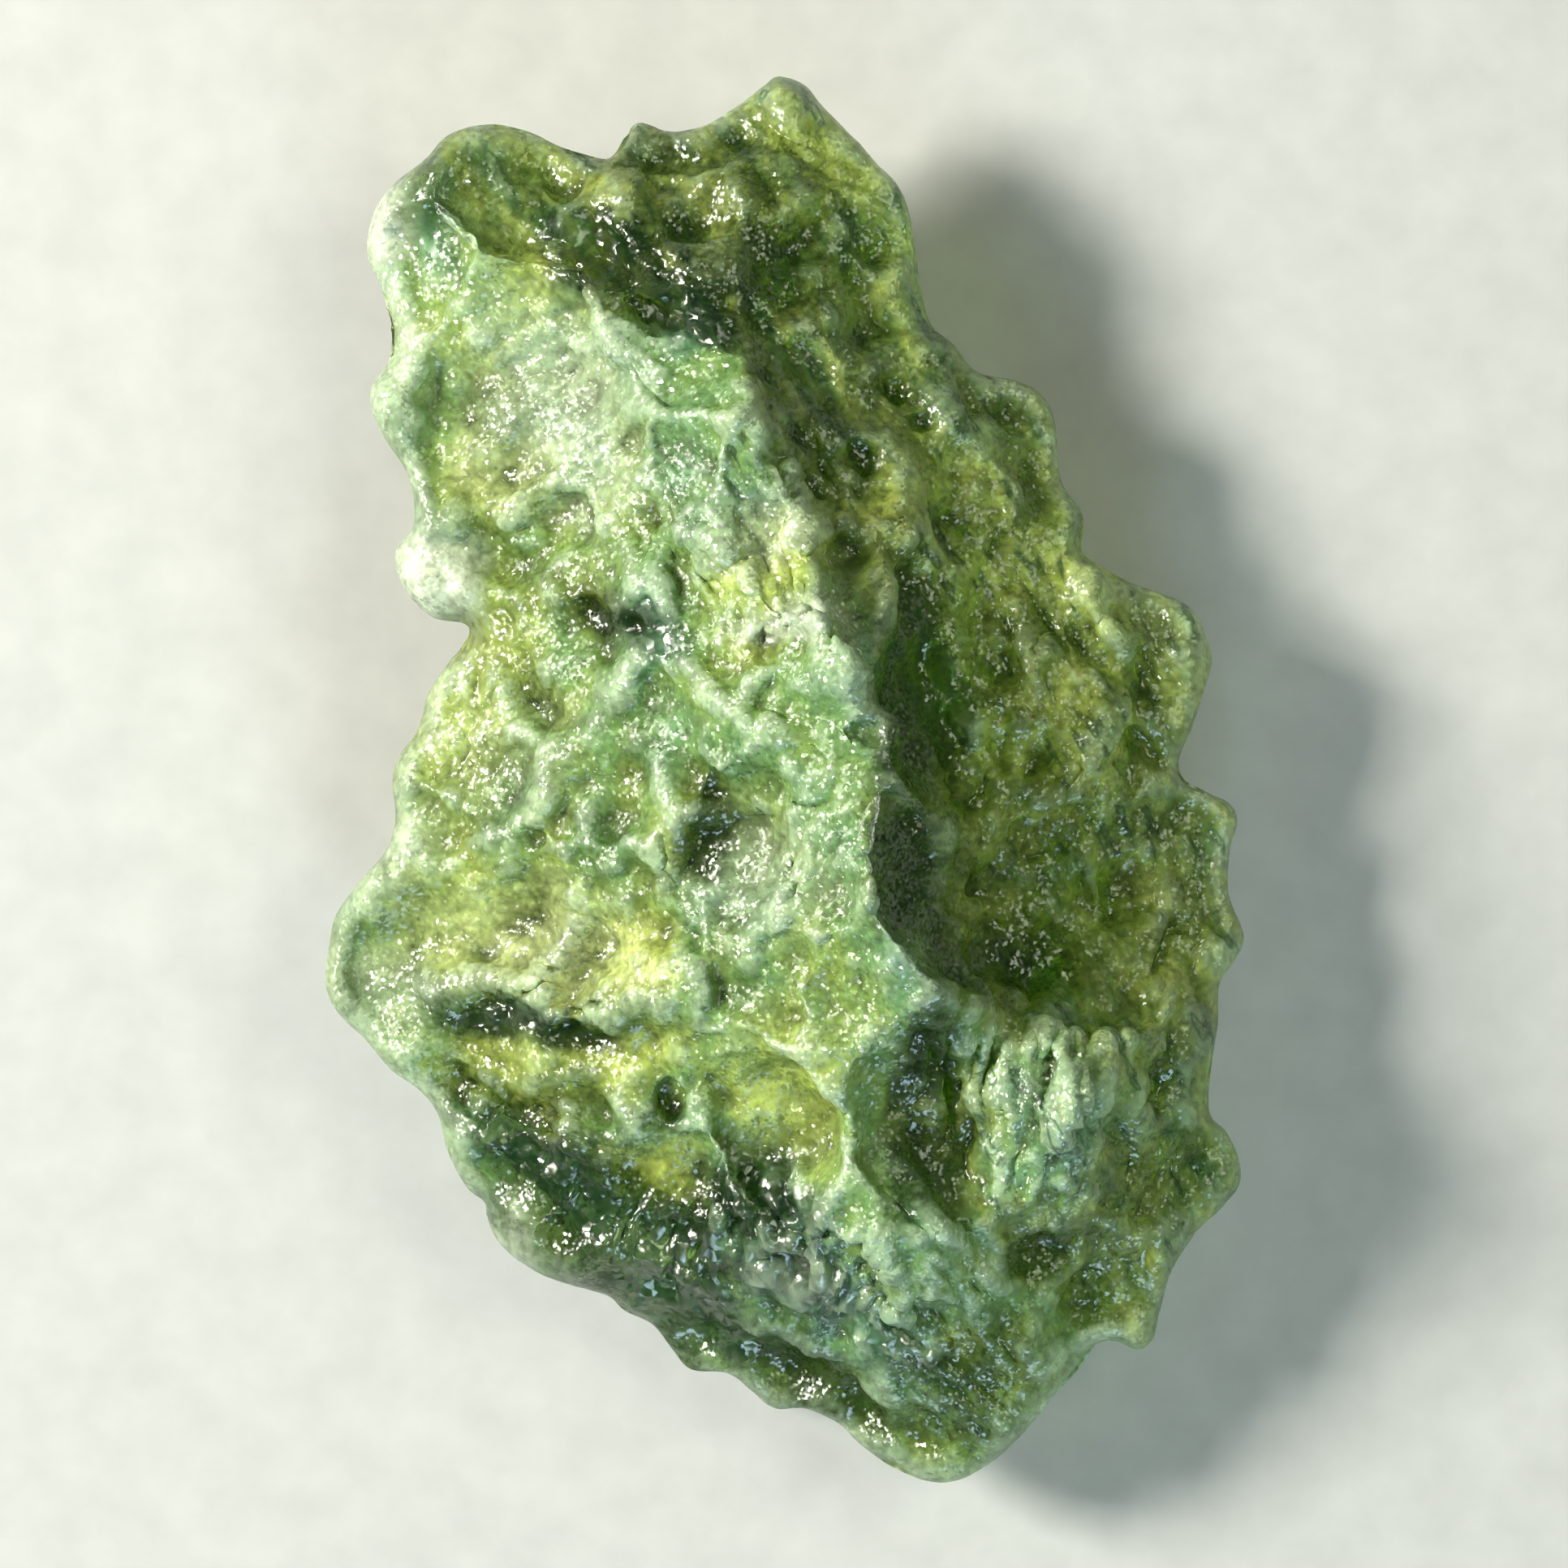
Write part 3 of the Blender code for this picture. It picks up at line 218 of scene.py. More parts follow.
# Rounding of the rim, width and hollow of the wall beside the crest, spacing of the height grid, unevenness of a
# scoop and softness of its lip
EDGE_RADIUS = 0.85
WALL_WIDTH = 1.7
WALL_CURVE = 1.5
GRID = 0.1
ROUGH_SCOOP = 0.55
SCOOP_LIP = 0.10


def closed_curve(points, spacing):
    """A smooth closed curve through the points, read off at an even spacing."""
    p = np.array(points, float)
    before, after, beyond = np.roll(p, 1, 0), np.roll(p, -1, 0), np.roll(p, -2, 0)
    steps = np.linspace(0, 1, 16, endpoint=False)[:, None, None]
    knots = 0.5 * (
        2 * p + (after - before) * steps
        + (2 * before - 5 * p + 4 * after - beyond) * steps**2
        + (3 * p - before - 3 * after + beyond) * steps**3
    )
    fine = knots.transpose(1, 0, 2).reshape(-1, p.shape[1])
    loop = np.vstack([fine, fine[:1]])
    travelled = np.r_[0, np.cumsum(np.linalg.norm(np.diff(loop, axis=0), axis=1))]
    count = int(round(travelled[-1] / spacing))
    at = np.linspace(0, travelled[-1], count, endpoint=False)
    return np.stack([np.interp(at, travelled, loop[:, k]) for k in range(p.shape[1])], 1)


def tree_of(points):
    tree = kdtree.KDTree(len(points))
    for i, p in enumerate(points):
        tree.insert((p[0], p[1], 0), i)
    tree.balance()
    return tree


def nearest(tree, points):
    found = [tree.find((p[0], p[1], 0)) for p in points]
    return np.array([f[1] for f in found]), np.array([f[2] for f in found])


def edge_height(points):
    known = np.array(EDGE_HEIGHTS)
    gap = np.linalg.norm(points[:, None, :2] - known[None, :, :2], axis=2)
    weight = 1 / (gap**3 + 0.02)
    return (weight * known[:, 2]).sum(1) / weight.sum(1)


def thin_plate(controls, softness=0.02):
    """A smooth surface through (x, y, z) controls, as a function of plan points."""
    known = np.array(controls, float)
    n = len(known)

    def kernel(a, b):
        r2 = ((a[:, None] - b[None]) ** 2).sum(2)
        return 0.5 * r2 * np.log(np.maximum(r2, 1e-12))

    flat = np.c_[np.ones(n), known[:, :2]]
    system = np.zeros((n + 3, n + 3))
    system[:n, :n] = kernel(known[:, :2], known[:, :2]) + softness * np.eye(n)
    system[:n, n:] = flat
    system[n:, :n] = flat.T
    solved = np.linalg.solve(system, np.r_[known[:, 2], 0, 0, 0])

    def height(points):
        return kernel(points, known[:, :2]) @ solved[:n] + np.c_[np.ones(len(points)), points] @ solved[n:]

    return height


def open_curve(points, spacing):
    p = np.array(points, float)
    p = np.vstack([2 * p[0] - p[1], p, 2 * p[-1] - p[-2]])
    steps = np.linspace(0, 1, 12, endpoint=False)[:, None]
    parts = []
    for a, b, c, d in zip(p[:-3], p[1:-2], p[2:-1], p[3:]):
        parts.append(0.5 * (2 * b + (c - a) * steps + (2 * a - 5 * b + 4 * c - d) * steps**2
                            + (3 * b - a - 3 * c + d) * steps**3))
    fine = np.vstack([*parts, p[-2:-1]])
    travelled = np.r_[0, np.cumsum(np.linalg.norm(np.diff(fine[:, :2], axis=0), axis=1))]
    at = np.arange(0, travelled[-1], spacing)
    return np.stack([np.interp(at, travelled, fine[:, k]) for k in range(p.shape[1])], 1)


def noise(points, seed):
    """Smooth gradient noise in three dimensions, about -0.7 to 0.7."""
    order = np.random.default_rng(seed).permutation(256)
    slopes = np.random.default_rng(seed + 1).normal(size=(256, 3))
    slopes /= np.linalg.norm(slopes, axis=1)[:, None]
    cell = np.floor(points).astype(int)
    part = points - cell
    ease = part**3 * (part * (part * 6 - 15) + 10)
    total = np.zeros(len(points))
    for corner in np.ndindex(2, 2, 2):
        corner = np.array(corner)
        i, j, k = ((cell + corner) % 256).T
        pick = slopes[order[(order[(order[i] + j) % 256] + k) % 256]]
        share = np.where(corner, ease, 1 - ease).prod(1)
        total += share * (pick * (part - corner)).sum(1)
    return total


class Form:
    """The stone's two faces as heights over a grid of its plan."""

    def __init__(self):
        self.rim_tree = tree_of(closed_curve(OUTLINE, 0.05))
        rim = closed_curve(OUTLINE, 1.6)
        rim_height = edge_height(rim)
        above = np.c_[rim, rim_height + EDGE_RADIUS]
        below = np.c_[rim, rim_height - EDGE_RADIUS]
        crest = open_curve(CREST, 0.04)
        self.low = np.array([-13.0, -19.0])
        size = (261, 381)
        x, y = np.meshgrid(np.arange(size[0]) * GRID, np.arange(size[1]) * GRID, indexing="ij")
        plan = np.stack([x.ravel(), y.ravel()], 1) + self.low
        left = thin_plate([*above, *CREST[1:-1], *LEFT_HEIGHTS])(plan)
        right = thin_plate([*above, *RIGHT_HEIGHTS])(plan)
        flat = np.c_[plan, np.zeros(len(plan))]
        wander = np.stack([noise(flat * 0.55, 11), noise(flat * 0.55 + 40, 12)], 1) * 0.55
        wander += np.stack([noise(flat * 1.4, 13), noise(flat * 1.4 + 40, 14)], 1) * 0.3
        side = crest_side(crest, plan + wander)
        share = np.clip(side / WALL_WIDTH, 0, 1)
        wall = right + (left - right) * (1 - share) ** WALL_CURVE
        front = np.where(side > 0, wall, left).reshape(size)
        lumps = 0.75 * noise(flat * 0.24, 21) + 0.5 * noise(flat * 0.5, 22) + 0.22 * noise(flat * 1.05, 23)
        grain = np.c_[plan @ (0.57, -0.82) * 0.22, plan @ (0.82, 0.57) * 0.75, np.zeros(len(plan))]
        lumps += 0.42 * noise(grain, 24) + 0.16 * noise(grain * 2.1, 25)
        self.front = blur(front, 2) + lumps.reshape(size)
        swell = 0.6 * noise(flat * 0.22, 31) + 0.4 * noise(flat * 0.5, 32)
        self.back = (thin_plate([*below, *BACK_HEIGHTS])(plan) + swell).reshape(size)
        self.side = side.reshape(size)

    def read(self, field, points):
        """The field at plan points, between its grid values."""
        at = (points - self.low) / GRID
        cell = np.clip(at.astype(int), 0, np.array(field.shape) - 2)
        part = at - cell
        i, j = cell.T
        a, b = part.T
        low = field[i, j] * (1 - a) + field[i + 1, j] * a
        high = field[i, j + 1] * (1 - a) + field[i + 1, j + 1] * a
        return low * (1 - b) + high * b

    def rim_distance(self, points):
        return nearest(self.rim_tree, points)[1]


def crest_side(crest, points):
    """Signed distance from the crest, positive on the shaded side."""
    index, gap = nearest(tree_of(crest), points)
    ahead = np.clip(index + 3, 0, len(crest) - 1)
    behind = np.clip(index - 3, 0, len(crest) - 1)
    along = crest[ahead, :2] - crest[behind, :2]
    off = points - crest[index, :2]
    turn = along[:, 0] * off[:, 1] - along[:, 1] * off[:, 0]
    return np.where(turn > 0, gap, -gap)


def blur(field, rounds):
    for _ in range(rounds):
        wide = np.pad(field, 1, mode="edge")
        rows = wide[:-2] + 2 * wide[1:-1] + wide[2:]
        field = (rows[:, :-2] + 2 * rows[:, 1:-1] + rows[:, 2:]) / 16
    return field


def inside(points, loop):
    """Which plan points lie within the loop, by counting crossings."""
    a, b = loop, np.roll(loop, -1, 0)
    slope = (b[:, 0] - a[:, 0]) / np.where(b[:, 1] == a[:, 1], 1e-9, b[:, 1] - a[:, 1])
    result = np.zeros(len(points), bool)
    for start in range(0, len(points), 4000):
        p = points[start:start + 4000]
        cross = (a[:, 1] > p[:, None, 1]) != (b[:, 1] > p[:, None, 1])
        x = a[:, 0] + (p[:, None, 1] - a[:, 1]) * slope
        result[start:start + 4000] = (cross & (p[:, None, 0] < x)).sum(1) % 2 == 1
    return result


def plan_mesh(form, rim, spacing, rings):
    """Plan points and triangles: the rim loop, rings just inside it, and an even grid within."""
    ahead = np.roll(rim, -1, 0) - np.roll(rim, 1, 0)
    inward = np.stack([ahead[:, 1], -ahead[:, 0]], 1) / np.linalg.norm(ahead, axis=1)[:, None]
    layers = [rim]
    for d in rings:
        ring = rim + inward * d
        layers.append(ring[form.rim_distance(ring) > 0.93 * d])
    low, high = rim.min(0), rim.max(0)
    rows = int((high[1] - low[1]) / (spacing * math.sqrt(0.75))) + 1
    columns = int((high[0] - low[0]) / spacing) + 1
    row, column = np.meshgrid(np.arange(rows), np.arange(columns), indexing="ij")
    x = low[0] + (column + 0.5 * (row % 2)) * spacing
    y = low[1] + row * spacing * math.sqrt(0.75)
    grid = np.stack([x.ravel(), y.ravel()], 1)
    grid = grid[form.rim_distance(grid) > rings[-1] + 0.6 * spacing]
    layers.append(grid[inside(grid, rim)])
    points = np.vstack(layers)
    count = len(rim)
    edges = [(i, (i + 1) % count) for i in range(count)]
    while True:
        made = delaunay_2d_cdt([Vector(p) for p in points], edges, [], 1, 1e-5)
        xy = np.array([tuple(v) for v in made[0]])
        faces = np.array([tuple(f) for f in made[2]])
        pairs = np.vstack([faces[:, [0, 1]], faces[:, [1, 2]], faces[:, [2, 0]]])
        pairs = pairs[(pairs < count).all(1)]
        step = (pairs[:, 0] - pairs[:, 1]) % count
        chords = pairs[(step != 1) & (step != count - 1)]
        if len(chords) == 0:
            return xy, faces
        points = np.vstack([xy, xy[np.unique(np.sort(chords, 1), axis=0)].mean(1)])


def dig(points, side, scoop, facing, hold):
    """Pushes the points of one side out of an oval scoop set square to the local surface."""
    x, y, a, b, turn, depth = scoop
    passes = 1 + int(3 * depth / math.sqrt(a * b))
    off = points[:, :2] - (x, y)
    near = np.flatnonzero(((off**2).sum(1) < (2.0 * a) ** 2) & side)
    around = near[(off[near] ** 2).sum(1) < (1.1 * a) ** 2]
    if len(around) < 6:
        return
    middle = points[around].mean(0)
    normal = np.linalg.svd(points[around] - middle, full_matrices=False)[2][2]
    normal *= facing * np.sign(normal[2])
    normal[2] = facing * max(abs(normal[2]), 0.45)
    normal /= np.linalg.norm(normal)
    rise = (x - middle[0]) * normal[0] + (y - middle[1]) * normal[1]
    mouth = np.array([x, y, middle[2] - rise / normal[2]])
    along = np.array([math.cos(math.radians(turn)), math.sin(math.radians(turn)), 0])
    along -= normal * (along @ normal)
    along /= np.linalg.norm(along)
    across = np.cross(normal, along)
    mean = math.sqrt(a * b)
    frame = np.stack([along / a, across / b, normal / mean])
    for step in range(passes):
        push_out(points, near, mouth, frame, depth / mean * (step + 1) / passes, hold, x)


def push_out(points, near, mouth, frame, deep, hold, phase):
    """Pushes points out of a ball whose mouth is the frame's unit circle."""
    local = (points[near] - mouth) @ frame.T
    radius = (1 + deep**2) / (2 * deep)
    centre = np.array([0, 0, radius - deep])
    arm = local - centre
    reach = np.linalg.norm(arm, axis=1)
    uneven = noise(local * 0.9 + 7.3 * phase, 5) + 0.5 * noise(local * 2.1, 6)
    past = radius - reach * (1 + ROUGH_SCOOP * deep * uneven)
    soft = SCOOP_LIP * deep
    push = np.where(past > soft, past, np.clip(past + soft, 0, None) ** 2 / (4 * soft))
    push[local[:, 2] > 0.9 * radius] = 0
    moved = mouth + (centre + arm * (1 + push / reach)[:, None]) @ np.linalg.inv(frame).T
    points[near] += (moved - points[near]) * hold[near][:, None]


def relax(points, faces, rounds, softness, held):
    """Evens out the spacing of the points within the surface, and softens it by a share of each step."""
    ends = np.vstack([faces[:, [0, 1]], faces[:, [1, 2]], faces[:, [2, 0]]])
    ends = np.vstack([ends, ends[:, ::-1]])
    count = len(points)
    links = np.bincount(ends[:, 0], minlength=count)
    for _ in range(rounds):
        total = np.stack([np.bincount(ends[:, 0], points[ends[:, 1], k], count) for k in range(3)], 1)
        shift = total / links[:, None] - points
        normal = vertex_normals(points, faces)
        upright = (shift * normal).sum(1)[:, None] * normal
        points += (0.5 * (shift - upright) + softness * upright) * (1 - held)[:, None]


def vertex_normals(points, faces):
    a, b, c = (points[faces[:, k]] for k in range(3))
    face_normal = np.cross(b - a, c - a)
    total = np.zeros_like(points)
    for k in range(3):
        for axis in range(3):
            total[:, axis] += np.bincount(faces[:, k], face_normal[:, axis], len(points))
    return total / np.maximum(np.linalg.norm(total, axis=1), 1e-12)[:, None]


def quiet(points):
    """Which plan points lie in a part without small scoops."""
    found = np.zeros(len(points), bool)
    for x, y, a, b, turn in QUIET:
        c, s = math.cos(math.radians(turn)), math.sin(math.radians(turn))
        off = points - (x, y)
        found |= ((off @ (c, s)) / a) ** 2 + ((off @ (-s, c)) / b) ** 2 < 1
    return found


def scattered(form, tries, sizes, deep, turns, seed, spread, region):
    """Seeded scoops, none nearer to another than spread times their joint size."""
    rng = np.random.default_rng(seed)
    made = np.zeros((0, 6))
    spots = rng.uniform((-11.5, -17.5), (11.5, 17.5), (tries, 2))
    rim_gap = form.rim_distance(spots)
    here = inside(spots, form.rim_loop) & region(spots)
    for (x, y), gap in zip(spots[here], rim_gap[here]):
        a = sizes[0] + (sizes[1] - sizes[0]) * rng.uniform() ** 1.4
        turn, slim, depth = rng.uniform(*turns), rng.uniform(0.5, 0.95), rng.uniform(*deep)
        if gap < 0.7 * a or (np.hypot(made[:, 0] - x, made[:, 1] - y) < spread * (a + made[:, 2])).any():
            continue
        made = np.vstack([made, (x, y, a, a * slim, turn, a * depth)])
    return [tuple(s) for s in made]


def stone_mesh():
    """Closed mesh of the stone: vertices, faces, whether each vertex is on the back, and the form."""
    form = Form()
    rim = closed_curve(OUTLINE, FRONT_SPACING)
    form.rim_loop = rim
    turns = np.radians(np.linspace(0, 90, EDGE_RINGS + 1)[1:])
    rings = EDGE_RADIUS * (1 - np.cos(turns))
    parts = []
    for spacing, face, sign in ((FRONT_SPACING, form.front, 1), (BACK_SPACING, form.back, -1)):
        xy, faces = plan_mesh(form, rim, spacing, rings)
        reach = np.clip(form.rim_distance(xy), 0, EDGE_RADIUS)
        drop = EDGE_RADIUS - np.sqrt(np.maximum(EDGE_RADIUS**2 - (EDGE_RADIUS - reach) ** 2, 0))
        z = form.read(face, xy) - sign * drop
        z[:len(rim)] = edge_height(rim)
        parts.append((np.c_[xy, z], faces))
    (front, front_faces), (back, back_faces) = parts
    count = len(rim)
    index = np.r_[np.arange(count), len(front) + np.arange(len(back) - count)]
    points = np.vstack([front, back[count:]])
    faces = np.vstack([front_faces, index[back_faces][:, ::-1]])
    on_back = np.arange(len(points)) >= len(front)
    on_front = ~on_back
    on_front[:count] = False
    gap = form.rim_distance(points[:, :2])
    hold = np.clip(gap / 0.6, 0, 1) ** 1.5

    def lit(p):
        return (form.read(form.side, p) < 0.4) & ~quiet(p)

    def dim(p):
        return (form.read(form.side, p) > 0.4) & ~quiet(p)

    def below(p):
        return form.read(form.back, p) > 0.5

    bright = scattered(form, 1500, (0.7, 2.3), (0.09, 0.24), (-85, 20), 51, 0.70, lit)
    shaded = scattered(form, 900, (0.6, 1.7), (0.10, 0.24), (-80, -30), 52, 0.85, dim)
    for scoop in sorted([*FRONT_SCOOPS, *bright, *shaded], key=lambda s: -s[2]):
        dig(points, on_front, scoop, 1, hold)
    under = scattered(form, 1800, (0.7, 2.8), (0.32, 0.5), (0, 180), 53, 0.62, below)
    for scoop in sorted(under, key=lambda s: -s[2]):
        dig(points, on_back, scoop, -1, hold)
    held = np.zeros(len(points))
    held[:count] = 1
    relax(points, faces, RELAX_ROUNDS, RELAX_SOFTNESS, held)
    points[on_back, 2] = np.maximum(points[on_back, 2], 0)
    return points, faces, on_back, form


# Fluted places of the front: x, y, half length, half width, turn, direction of the flutes in degrees, their
# width, their height
FLUTES = [
    (-5.2, 9.4, 3.6, 2.6, -58, 25, 0.30, 0.07), (-6.4, -4.0, 3.2, 1.9, -8, -12, 0.26, 0.08),
    (0.0, 3.8, 1.8, 1.3, 20, 92, 0.28, 0.14), (-0.4, -10.0, 1.5, 1.2, -30, 84, 0.32, 0.22),
    (5.6, -7.4, 2.4, 2.9, 85, 84, 0.42, 0.26), (3.4, -13.4, 3.6, 2.0, -42, -46, 0.32, 0.16),
    (0.6, -2.0, 2.2, 1.8, 60, 60, 0.24, 0.10), (-2.8, -11.2, 2.6, 1.2, -30, 70, 0.32, 0.14),
    (1.6, -12.0, 1.5, 1.2, -50, 75, 0.30, 0.18), (-2.0, 15.6, 2.2, 1.2, 15, 15, 0.26, 0.08),
    (1.3, 15.4, 2.2, 1.6, -45, -30, 0.30, 0.10), (7.4, 2.6, 3.2, 2.4, -50, -62, 0.40, 0.12),
    (6.6, -0.6, 2.6, 2.0, 0, 50, 0.30, 0.10), (9.6, -4.5, 1.8, 3.0, 0, 85, 0.36, 0.12),
    (-3.4, 11.8, 3.2, 1.6, -25, -28, 0.26, 0.12), (0.2, 7.6, 1.6, 2.4, 20, -60, 0.28, 0.12),
    (-2.2, 6.2, 2.4, 1.8, -60, -55, 0.26, 0.10), (-6.8, 1.4, 1.8, 3.0, -20, 65, 0.28, 0.09),
    (8.6, -9.6, 2.6, 2.2, 0, 80, 0.36, 0.12), (-6.4, -8.6, 2.6, 1.6, -40, -35, 0.30, 0.12),
]


def flute(points, normals, on_front):
    """Raises and lowers the front along its fluted places."""
    shift = np.zeros(len(points))
    for number, (x, y, a, b, turn, run, width, height) in enumerate(FLUTES):
        c, s = math.cos(math.radians(turn)), math.sin(math.radians(turn))
        off = points[:, :2] - (x, y)
        away = np.hypot((off @ (c, s)) / a, (off @ (-s, c)) / b)
        mask = np.clip(1.25 - away, 0, 1) ** 0.8 * on_front
        here = np.flatnonzero(mask > 0)
        c, s = math.cos(math.radians(run)), math.sin(math.radians(run))
        along, across = off[here] @ (c, s), off[here] @ (-s, c)
        spot = np.stack([along / (width * 5), across / width, points[here, 2] / (width * 2.6)], 1)
        spot[:, 1] += 0.5 * noise(spot * (0.9, 0.3, 0.5) + 9.1, 61 + number)
        ridge = 0.45 - np.abs(noise(spot + 3.7 * number, 71)) * 1.9
        shift[here] += 2.4 * height * ridge * mask[here]
    points += normals * shift[:, None]


# Folds of the front: a line of x, y points, height, how far it fades, and 1 for a step whose high side is on the
# left of the line or -1 for a ridge
FOLDS = [
    (((-8.8, 8.2), (-8.8, 10.8)), 0.30, 0.8, 1), (((-7.4, 6.2), (-5.6, 6.7), (-3.8, 6.9)), 0.36, 1.0, 1),
    (((-2.6, 3.4), (-3.0, 5.6)), 0.30, 0.8, 1), (((-1.7, 5.0), (-0.4, 5.8), (1.0, 5.6)), 0.36, 0.9, 1),
    (((-0.7, 1.0), (-2.7, 3.2)), 0.30, 0.3, -1), (((-5.8, 0.8), (-6.7, 3.4)), 0.38, 0.9, 1),
    (((-1.8, -6.2), (-1.9, -2.6)), 0.42, 1.2, 1), (((-6.2, -6.1), (-3.3, -5.8)), 0.30, 0.8, 1),
    (((-3.5, -7.6), (-3.3, -5.9)), 0.30, 0.7, 1),
    (((2.0, -8.2), (3.1, -10.1), (5.8, -12.8)), 0.36, 0.45, -1),
    (((-1.4, -12.9), (0.8, -12.6), (2.1, -14.2), (2.3, -16.0)), 0.42, 1.0, 1),
    (((-2.7, -3.4), (-2.4, 0.5)), 0.30, 0.9, 1), (((-9.5, -5.3), (-7.6, -5.6), (-5.0, -5.2)), 0.36, 1.0, 1),
    (((-8.9, -2.6), (-7.4, -2.2), (-5.8, -2.6)), 0.16, 0.7, 1),
    (((-6.5, -7.7), (-4.9, -7.2)), 0.30, 0.6, 1), (((-5.6, -9.2), (-4.0, -8.6)), 0.30, 0.6, 1),
    (((-3.5, -10.8), (-1.7, -10.4)), 0.36, 0.6, 1), (((-0.8, -11.5), (1.3, -11.2)), 0.36, 0.6, 1),
    (((-4.5, -2.4), (-3.1, -1.3)), 0.26, 0.6, 1), (((-5.8, -0.8), (-4.5, 0.3)), 0.26, 0.6, 1),
    (((-3.7, 0.1), (-2.3, 1.3)), 0.30, 0.7, 1), (((-1.1, -4.6), (0.3, -3.1)), 0.26, 0.7, 1),
    (((0.1, -1.4), (1.4, 0.3)), 0.28, 0.6, 1), (((-0.5, 0.9), (0.7, 2.1)), 0.30, 0.6, 1),
    (((-6.4, 11.6), (-4.2, 10.4), (-2.2, 9.3)), 0.26, 0.4, -1), (((4.9, 4.2), (6.5, 1.4)), 0.22, 0.35, -1),
    (((7.1, 5.6), (8.5, 2.8)), 0.24, 0.4, -1), (((4.3, 1.8), (5.3, -1.4)), 0.20, 0.35, -1),
    (((6.7, -0.8), (7.7, -3.4)), 0.20, 0.35, -1), (((3.0, 10.8), (4.9, 7.4)), 0.24, 0.4, -1),
    (((8.1, -5.8), (8.7, -8.8)), 0.22, 0.4, -1), (((0.2, 12.0), (2.6, 13.6)), 0.26, 0.7, 1),
    (((-0.6, 14.6), (1.8, 15.6)), 0.24, 0.5, 1), (((-7.6, 9.6), (-6.0, 11.0)), 0.20, 0.7, 1),
    (((-4.4, 7.6), (-2.8, 8.8)), 0.22, 0.7, 1),
]


def fold(points, normals, on_front):
    """Adds the folds to the front."""
    wobble = np.stack([noise(points * 0.9, 101), noise(points * 0.9 + 7.0, 102)], 1)
    spots = points[:, :2] + 0.8 * wobble
    shift = np.zeros(len(points))
    for line, height, fade, drop in FOLDS:
        line = np.array(line)
        span = line.max(0) - line.min(0)
        here = np.flatnonzero((np.abs(spots - (line.max(0) + line.min(0)) / 2) < span / 2 + 5 * fade).all(1))
        ends = np.r_[0, np.cumsum(np.hypot(*np.diff(line, axis=0).T))]
        gap, left, reach = np.full(len(here), 1e9), np.zeros(len(here)), np.zeros(len(here))
        for start, stop, before in zip(line[:-1], line[1:], ends[:-1]):
            run = stop - start
            off = spots[here] - start
            share = np.clip(off @ run / (run @ run), 0, 1)
            away = off - share[:, None] * run
            size = np.hypot(*away.T)
            closer = size < gap
            gap[closer] = size[closer]
            left[closer] = np.sign(run[0] * away[:, 1] - run[1] * away[:, 0])[closer]
            reach[closer] = (before + share * np.hypot(*run))[closer] / ends[-1]
        taper = np.clip(4 * np.minimum(reach, 1 - reach), 0, 1)
        rise = np.exp(-gap / np.where(left > 0, fade, 0.6 * fade))
        if drop > 0:
            rise *= np.where(left > 0, 0.9, -0.4) * np.tanh(gap / 0.30)
        shift[here] += height * taper * rise
    points += normals * (shift * on_front)[:, None]


def roughen(points, normals, hold):
    """Small uneven relief all over."""
    fine = 0.50 * (0.30 - np.abs(noise(points * 0.42 + 5.0, 84))) + 0.22 * noise(points * 0.95 + 17.0, 81)
    fine += 0.065 * noise(points * 2.3, 82) + 0.030 * noise(points * 4.4, 83)
    points += normals * (fine * hold)[:, None]


def hollows(points, faces, rounds):
    """How far each point lies below its smoothed surroundings, in millimetres."""
    soft = points.copy()
    relax(soft, faces, rounds, 0.5, np.zeros(len(points)))
    return ((soft - points) * vertex_normals(soft, faces)).sum(1)


def soft_normals(points, faces):
    soft = points.copy()
    relax(soft, faces, 30, 0.5, np.zeros(len(points)))
    return vertex_normals(soft, faces)


# Places that the etching left clear: x, y, half length, half width, turn in degrees, how clear.
CLEAR = [
    (-2.16, -14.3, 2.0, 1.2, -30, 0.9), (0.34, -14.9, 2.3, 1.4, -38, 0.9), (4.6, -15.2, 3.4, 2.2, 40, 0.75),
    (-1.9, -1.4, 1.3, 0.7, 86, 0.8), (3.3, -7.4, 3.4, 0.8, 80, 0.9), (3.2, 1.4, 2.6, 1.2, 80, 0.8),
    (-2.9, -8.1, 0.6, 0.5, 0, 0.8), (0.0, 13.2, 3.0, 2.4, 0, 0.7), (5.6, -4.4, 1.6, 1.3, 0, 0.8),
    (-5.0, -12.0, 5.0, 1.4, -28, 0.8), (5.9, -11.6, 1.0, 0.8, 0, 0.8), (-3.6, 12.4, 2.6, 1.0, -25, 0.7),
    (-8.7, 14.4, 1.3, 0.8, 40, 0.8), (-7.0, 8.8, 2.0, 0.9, -75, 0.5), (-0.8, -10.4, 2.0, 0.9, -30, 0.6),
    (-6.8, -8.6, 1.8, 1.0, -40, 0.5), (-4.6, 4.2, 1.4, 0.7, -10, 0.5), (-5.4, -9.4, 2.0, 1.1, -20, 0.7),
    (-3.0, -10.6, 1.6, 0.8, -40, 0.7), (-6.0, -6.2, 2.6, 0.5, -8, 0.5), (2.8, 0.6, 1.2, 0.7, 80, 0.7),
    (2.9, -1.4, 2.6, 1.0, 85, 0.9), (3.6, -9.0, 2.2, 1.0, 70, 0.8),
]


